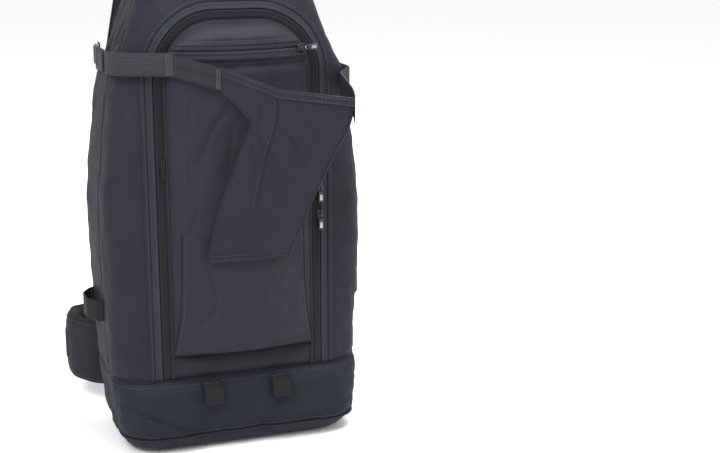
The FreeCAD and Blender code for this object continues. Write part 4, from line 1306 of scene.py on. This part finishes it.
# ---------------------------------------------------------------- loops sewn to the pack
def build_loops():
    for name, s in SIDES:
        low, high = box_mm(f"ski_loop_{name}")
        inner, outer = (high.x, low.x) if s < 0 else (low.x, high.x)
        y0, y1, z = low.y, high.y, (low.z + high.z) / 2
        path = [
            (inner + s * 0.9, y0 + 1, z), (inner + s * 7, y0 + 5, z), (outer - s * 1.2, y0 + 20, z),
            (outer - s * 1.2, y1 - 20, z), (inner + s * 7, y1 - 5, z), (inner + s * 0.9, y1 - 1, z),
        ]
        line = rounded(path, [0, 5, 14, 14, 5, 0], 2)
        loop = webbing(f"ski_loop_cloth_{name}", line, UP, 24.4, 1.8, "webbing_dark", (s, 0, 0))
        settle(loop, "pack", [f"ski_loop_{name}"])
        for k, y in enumerate((y0 + 3.2, y1 - 3.2)):
            ends, out = upright(inner + s * 3.2, y, z - 10.5, z + 10.5), (s, -0.4 + 0.8 * k, 0)
            zigzag(f"ski_tack_{name}_{k}", *ends, out, "pack", 2)
        low, high = box_mm(f"gear_loop_{name}")
        x, near, out, top = (low.x + high.x) / 2, high.y, low.y + 1.2, high.z
        path = [(near - 0.6, top - 1.2), (out, top - 4), (out, low.z + 3), (near - 0.6, low.z + 1.2)]
        line = rounded([(x, y, z) for y, z in path], [0, 4, 4, 0], 1)
        loop = webbing(f"gear_loop_cloth_{name}", line, (1, 0, 0), 21.4, 1.9, "webbing_dark", FORWARD)
        settle(loop, "pack", [f"gear_loop_{name}"])
        corners = (x - 10.9, near - 1.7, top - 4), (x + 10.9, near + 1.4, top + 4.5)
        patch = rounded_box(f"gear_patch_{name}", *corners, 0.7, "webbing_dark")
        settle(patch, "pack")
        for k, rise in enumerate((-2.2, 0.2, 2.6)):
            row = [Vector((x - 9.5 + j, near - 1.85, top + rise)) for j in range(20)]
            sew(f"gear_stitch_{name}_{k}", row, FORWARD, "pack")


def build_haul_loop():
    low, high = box_mm("haul_loop")
    y, half = (low.y + high.y) / 2, 4.2
    left, right, foot, top = low.x + half, high.x - half, low.z + 1, high.z - half
    line = rounded([(left, y, foot), (left, y, top), (right, y, top), (right, y, foot)], [0, 12, 12, 0], 2)
    turns = [2 * math.pi * k / 14 for k in range(14)]
    profile = [(half * math.cos(turn), 2.7 * math.sin(turn)) for turn in turns]
    sides = [BACK.cross(way).normalized() for way in directions(line)]
    loop = sweep("haul_loop_cloth", line, sides, [BACK] * len(line), profile, MAT["webbing"])
    settle(loop, "haul_loop", ["haul_loop"])
    for name, s in SIDES:
        row = [p + side * (s * 2.6) + BACK * 2.3 for p, side in zip(line, sides)]
        sew(f"haul_stitch_{name}", row, BACK, "haul_loop")


# ---------------------------------------------------------------- padded parts
PAD_HALF = [(-1.0, 0.16), (-0.95, 0.3), (-0.88, 0.62), (-0.7, 0.88), (-0.35, 0.98)]
PAD_TOP = PAD_HALF + [(0, 1.0)] + [(-a, b) for a, b in reversed(PAD_HALF)]
PAD_SECTION = PAD_TOP + [(a, -b) for a, b in reversed(PAD_TOP)]  # the outer side, then the wearer's


def padded_sweep(name, line, across, half_at, thick, centre, body, node):
    """A padded band round a centre: cloth outside, mesh inside, bound and stitched along both edges."""
    run, sides, ups = lengths(line), [], []
    for point, way in zip(line, directions(line)):
        side = (across - way * across.dot(way)).normalized()
        up = way.cross(side).normalized()
        sides.append(side)
        ups.append(-up if up.dot(point - centre) < 0 else up)
    halves = [half_at(where / run[-1]) for where in run]
    verts, uvs = [], []
    for point, side, up, where, half in zip(line, sides, ups, run, halves):
        past = max(0, where - run[-1] + 9) / 9.5  # the last 9 mm round off
        full = math.sqrt(max(1 - past**2, 0.02))
        for a, b in PAD_SECTION:
            wide, lift = a * half * (0.6 + 0.4 * full), b * thick / 2 * (0.35 + 0.65 * full)
            wave = 1 + 0.05 * soft_noise((wide, where * 0.6, lift), 15, 3)
            verts.append(point + side * wide + up * lift * wave)
            uvs.append((where, wide))
    rows, count = len(line), len(PAD_SECTION)
    pad = make(name, verts, tube_faces(rows, count), [MAT["side"], MAT["mesh"]], uvs)
    for index, face in enumerate(pad.data.polygons):
        if index % count >= count // 2 and index < (rows - 1) * count:
            face.material_index = 1
    settle(pad, body, [node])
    for label, s in (("a", -1), ("b", 1)):
        edge = [p + side * (s * (half - 0.9)) for p, side, half in zip(line, sides, halves)]
        binding = tube(f"{name}_binding_{label}", edge, 1.7, "webbing_dark", ups)
        settle(binding, body)
        row = [p - side * (s * 4.2) + up * (thick * 0.36) for p, side, up in zip(edge, sides, ups)]
        sew(f"{name}_stitch_{label}", row, ups, body)
    return ups


STRAP_LEVEL, STRAP_SPREAD, LEAN = 492, 64, math.radians(8)
STRAP_PATH = ((81.5, 458), (92, 530), (140, 514), (170, 402), (156, 284), (124, 227))  # y, z before it leans
STRAP_BANDS = (  # piece, y and z along it, bend radius, step, thickness, outward, the node it replaces
    ("strap_lock_tab", ((125.5, 233), (121, 222.5), (118.4, 217.8)), 20, 2, 2.2, BACK, None),
    ("strap_tail", ((117, 212), (104, 177), (79, 140)), 60, 3, 1.4, BACK, "strap_webbing"),
    ("lifter", ((76.4, 545), (112, 534.2), (126.5, 525.9)), 30, 3, 1.4, UP, "load_lifter"),
)


def tilt(s, y, z):
    """A point on a shoulder strap's middle line, which leans outwards downwards."""
    drop = z - STRAP_LEVEL
    return Vector((s * (STRAP_SPREAD - drop * math.sin(LEAN)), y, STRAP_LEVEL + drop * math.cos(LEAN)))


def shoulder_half(share):
    return 28.4 - 4.5 * ease(share, 0.72, 1.0) - 3.0 * (1 - ease(share, 0.0, 0.2))


def build_lock(name, s):
    """A ladder lock: three bars between two cheeks."""
    parts = []
    for z, size in ((-6.0, 1.6), (-0.6, 1.5), (5.4, 1.6)):
        parts.append(rounded_box("bar", (-13.6, -size, z - 1.3), (13.6, size, z + 1.3), 0.9, "plastic", 2))
    for x in (-12.4, 12.4):
        parts.append(rounded_box("cheek", (x - 1.5, -2.0, -6.6), (x + 1.5, 2.0, 6.6), 1.0, "plastic", 2))
    lock = join(f"ladder_lock_{name}", parts)
    place_mesh(lock, tilt(s, 117.5, 216.7), Matrix.Rotation(-s * LEAN, 3, "Y"))
    settle(lock, "pack", [f"strap_lock_{name}"])


def build_shoulder_straps():
    flat_path = rounded([(0, y, z) for y, z in STRAP_PATH], [0, 26, 34, 90, 110, 0], 4)
    for name, s in SIDES:
        line = [tilt(s, p.y, p.z) for p in flat_path]
        across = Vector((s * math.cos(LEAN), 0, math.sin(LEAN)))
        centre = Vector((s * 70, 118, 400))
        pad, node = f"shoulder_pad_{name}", f"shoulder_strap_{name}"
        ups = padded_sweep(pad, line, across, shoulder_half, 9.6, centre, "pack", node)
        # a long strip of webbing down the pad, tacked at five places
        strip = [p + up * 5.3 for p, up in zip(line, ups)]
        strip = strip[int(len(line) * 0.18):int(len(line) * 0.97)]
        daisy = webbing(f"strap_daisy_{name}", strip, across, 20, 1.3, "webbing_dark", BACK)
        settle(daisy, "pack")
        for k in range(5):
            i = 6 + k * int(len(strip) / 6)
            up = (strip[i + 1] - strip[i]).normalized().cross(across).normalized()
            up = up if up.dot(strip[i] - centre) > 0 else -up
            ends = [strip[i] + across * reach + up * 0.6 for reach in (-8.5, 8.5)]
            zigzag(f"daisy_tack_{name}_{k}", *ends, up, "pack", 2)
        for piece, path, radius, step, thick, outward, node in STRAP_BANDS:
            run = rounded([tilt(s, y, z) for y, z in path], [0, radius, 0], step)
            look, slot = ("webbing", "webbing") if node else ("webbing_dark", "dark_webbing")
            band = webbing(f"{piece}_{name}", run, across, 19.6, thick, look, outward)
            settle(band, "pack", [f"{node}_{name}"] if node else ())
        build_lock(name, s)


def build_sternum():
    for name, s in SIDES:
        body = f"sternum_{name}"
        top, foot = Vector((s * 83.5, 173.46, 373.5)), Vector((s * 83.5, 165.2, 304))
        path = [foot + Vector((0, -3.5, 2)), foot + UP * 5, top - UP * 5, top + Vector((0, -3.5, -2))]
        rail = tube(f"sternum_cord_{name}", rounded(path, [0, 3, 3, 0], 2), 1.5, "plastic", BACK)
        settle(rail, "pack", [f"sternum_rail_{name}"])
        clip = rounded_box(f"sternum_clip_body_{name}", *box_mm(f"sternum_clip_{name}"), 1.2, "plastic")
        settle(clip, body, [f"sternum_clip_{name}"])
        low, high = box_mm(f"sternum_webbing_{name}")
        z = (low.z + high.z) / 2
        line = [Vector((-76.2 + k * 3, 178, z)) for k in range(21)]
        if s > 0:
            line = rounded([(76.2, 176, z), (60, 172.4, z), (1, 172.4, z)], [0, 8, 0])
        strap = webbing(f"sternum_strap_{name}", line, UP, high.z - low.z - 0.3, 1.2, "webbing", BACK)
        settle(strap, body, [f"sternum_webbing_{name}"])


def buckle(prefix, y, z, half_high, half_thick, housing, female_body):
    """A side-release buckle, open: the socket half and the pronged half."""
    male_body = f"{prefix}_buckle_male"
    for half, body, name in (("female", female_body, "socket"), ("male", male_body, "prongs")):
        node = f"{prefix}_buckle_{half}"
        piece = bpy.data.objects.new(f"{prefix}_buckle_{name}", frame["nodes"][node].data.copy())
        bpy.context.scene.collection.objects.link(piece)
        piece.data.materials.clear()
        piece.data.materials.append(MAT["plastic"])
        modify(piece, "WELD", merge_threshold=0.02 * MM)
        settle(bevel(piece, 0.6, 40), body, [node])
    for name, s in (("front", -1), ("back", 1)):  # raised ribs on both of the socket's faces
        ribs = []
        for k in range(3):
            x, face, rise = housing * (0.09 * k - 0.75), y + s * half_thick, half_high * 0.55
            corners = (x, face - 0.35, z - rise), (x + housing * 0.04, face + 0.35, z + rise)
            ribs.append(rounded_box("rib", *corners, 0.3, "plastic", 2))
        settle(join(f"{prefix}_ribs_{name}", ribs), female_body)


BELT = 71  # the hip belt's height
HIP_PATH = ((94, 86), (140, 94), (166, 137), (150, 205), (118, 240))  # x, y on the right
HIP_STRAPS = {
    "left": ((-117, 241), (-84, 266), (-35.5, 266)),
    "right": ((117, 241), (88, 258.6), (1.2, 258.6)),
}


def hip_half(share):
    return 40.3 - 17 * ease(share, 0.45, 1.0)


def build_hip_belt():
    centre = Vector((0, 170, BELT))
    for name, s in SIDES:
        body = f"hip_wing_{name}"
        line = rounded([(s * x, y, BELT) for x, y in HIP_PATH], [0, 30, 40, 44, 0], 4)
        padded_sweep(f"hip_pad_{name}", line, UP, hip_half, 12.4, centre, body, body)
        run = resample(line, 4)
        run = run[int(len(run) * 0.45):]
        path = []
        for point, way in zip(run, directions(run)):
            normal = Vector((way.y, -way.x, 0)).normalized()
            path.append(point + normal * (6.4 if normal.dot(point - centre) > 0 else -6.4))
        strip = webbing(f"hip_face_webbing_{name}", path, UP, 34, 1.4, "webbing", (s, 0, 0))
        settle(strip, body)
        belt = rounded([(x, y, BELT) for x, y in HIP_STRAPS[name]], [0, 20, 0])
        strap = webbing(f"hip_strap_{name}", belt, UP, 35.6, 1.6, "webbing", BACK)
        settle(strap, body, [f"hip_webbing_{name}"])


# ---------------------------------------------------------------- back system
def outline(low, high, inset, corner, steps):
    """A box's outline as (x, z) pairs, moved in by inset and with rounded corners."""
    reach = inset + corner
    left, right, foot, top = low.x + reach, high.x - reach, low.z + reach, high.z - reach
    out = []
    for x, z, start in ((right, top, 0), (left, top, 90), (left, foot, 180), (right, foot, 270)):
        for k in range(steps + 1):
            a = math.radians(start + 90 * k / steps)
            out.append((x + corner * math.cos(a), z + corner * math.sin(a)))
    return out


def block_mesh(name, low, high, corner, material, cell):
    """A block with rounded corners in the XZ plane, remeshed to an even grid."""
    ring = outline(low, high, 0, corner, 6)
    n = len(ring)
    points = [(x, y, z) for y in (low.y, high.y) for x, z in ring]
    faces = [tuple(range(n)), tuple(range(2 * n - 1, n - 1, -1))]
    faces += [(j, j + n, (j + 1) % n + n, (j + 1) % n) for j in range(n)]
    block = make(name, points, faces, MAT[material])
    return refine(block, "REMESH", mode="VOXEL", voxel_size=cell * MM, use_smooth_shade=True)


CLOTH = {
    "quality": 5, "mass": 0.3, "tension_stiffness": 18, "compression_stiffness": 8, "bending_stiffness": 0.6,
    "vertex_group_mass": "hold", "use_pressure": True, "uniform_pressure_force": 4,
}
CLOTH_FRAMES, MOST_PUFF = 20, 4.0 * MM
PAD_REAR = 75.4 * MM  # the pads' back faces lie here, just clear of the shell


def puff(obj, rear, channels):
    """Blows a padded block up a little with the cloth solver, held at its rear and along its channels."""
    hold = obj.vertex_groups.new(name="hold")
    crest = max(v.co.y for v in obj.data.vertices) - 2.5 * MM
    for v in obj.data.vertices:
        weight = 1.0 if v.co.y < (rear + 2) * MM else 0.0
        if any(abs(v.co.z / MM - z) < 3.2 for z in channels):
            weight = 1.0
            if v.co.y > crest:
                v.co.y -= 3.2 * MM
        hold.add([v.index], weight, "REPLACE")
    rest = [v.co.copy() for v in obj.data.vertices]
    cloth, scene = modify(obj, "CLOTH"), bpy.context.scene
    for key, value in CLOTH.items():
        setattr(cloth.settings, key, value)
    cloth.settings.effector_weights.gravity = 0
    cloth.point_cache.frame_start, cloth.point_cache.frame_end = 1, CLOTH_FRAMES
    for number in range(1, CLOTH_FRAMES + 1):
        scene.frame_set(number)
    apply_all(obj)
    scene.frame_set(1)
    for v, start in zip(obj.data.vertices, rest):
        shift = v.co - start
        if shift.length > MOST_PUFF:
            v.co = start + shift.normalized() * MOST_PUFF
    for v in obj.data.vertices:
        v.co.y = max(v.co.y, PAD_REAR)
    obj.vertex_groups.clear()
    return soften(refine(obj, "SUBSURF", levels=1, render_levels=1))


PADS = (("back_pad_left", 16, (232, 340)), ("back_pad_right", 16, (232, 340)), ("lumbar_pad", 18, ()))


def build_back():
    for name, corner, channels in PADS:
        low, high = box_mm(name)
        inner = low + Vector((3, 0.2, 3)), high - Vector((3, 4.0, 3))
        pad = puff(block_mesh(f"{name}_cloth", *inner, corner, "mesh", 5.0), low.y, channels)
        settle(pad, "pack", [name])
        edge = [Vector((x, low.y + 2.2, z)) for x, z in outline(low, high, 1.9, corner, 8)]
        binding = tube(f"{name}_binding", edge, 1.8, "webbing_dark", BACK, closed=True)
        settle(binding, "pack")


QUILT = 52


def build_inside():
    """The parts seen with the panel open: the padded back wall, its stays and the sleeve."""
    paint("frame_sheet", "sheet")
    paint("frame_stays", "stay")
    low, high = box_mm("back_foam")
    corners = low + Vector((0.4, 0.3, -4.0)), high - Vector((0.4, 0.3, 0.4))
    foam = block_mesh("back_foam_pad", *corners, 14, "lining", 6.0)
    for v in foam.data.vertices:
        c = v.co / MM
        if c.y < low.y + 2:  # its front face is quilted in diamonds
            quilt = abs(math.sin(math.pi * (c.x + c.z) / QUILT) * math.sin(math.pi * (c.x - c.z) / QUILT))
            v.co.y += 1.6 * MM * (1 - min(quilt * 2.2, 1))
    soften(refine(foam, "SUBSURF", levels=1, render_levels=1))
    settle(foam, "pack", ["back_foam"])
    low, high = box_mm("inner_sleeve")
    wide, tall = high.x - low.x - 2, high.z - low.z - 2
    points, columns, rows = [], 44, 54
    for i in range(rows + 1):
        z = low.z + 1 + tall * i / rows
        for j in range(columns + 1):
            x = low.x + 1 + wide * j / columns
            sag = 1.4 * ease(z, high.z - 60, high.z) * math.sin(math.pi * j / columns)
            points.append((x, low.y + 1.0 - sag + 0.5 * soft_noise((x, 0, z), 26, 9), z))
    sleeve = make("sleeve_cloth", points, grid_faces(rows + 1, columns + 1), MAT["flap"], out=False)
    refine(sleeve, "SOLIDIFY", thickness=0.9 * MM, offset=0)
    settle(sleeve, "pack", ["inner_sleeve"])
    line = []
    for j in range(41):
        sag = 1.4 * math.sin(math.pi * j / 40)
        line.append(Vector((low.x + 1 + wide * j / 40, low.y - 0.2 - sag, high.z - 2)))
    binding = tube("sleeve_binding", line, 1.7, "webbing_dark", FORWARD)
    settle(binding, "pack")


add_camera((0.17256, 0, 0.22758), -20, 14, 1.714)
add_studio()
build_shell()
build_base()
build_shell_seams()
build_main_zip()
build_door()
build_lining()
build_pocket_zip()
build_door_details()
build_sliders()
build_flap()
build_flap_straps()
build_loops()
build_haul_loop()
build_back()
build_shoulder_straps()
build_sternum()
build_hip_belt()
buckle("sternum", 178, 352.7, 13, 4, 16, "sternum_left")
buckle("hip", 266, 71, 23, 6, 35, "hip_wing_left")
build_inside()
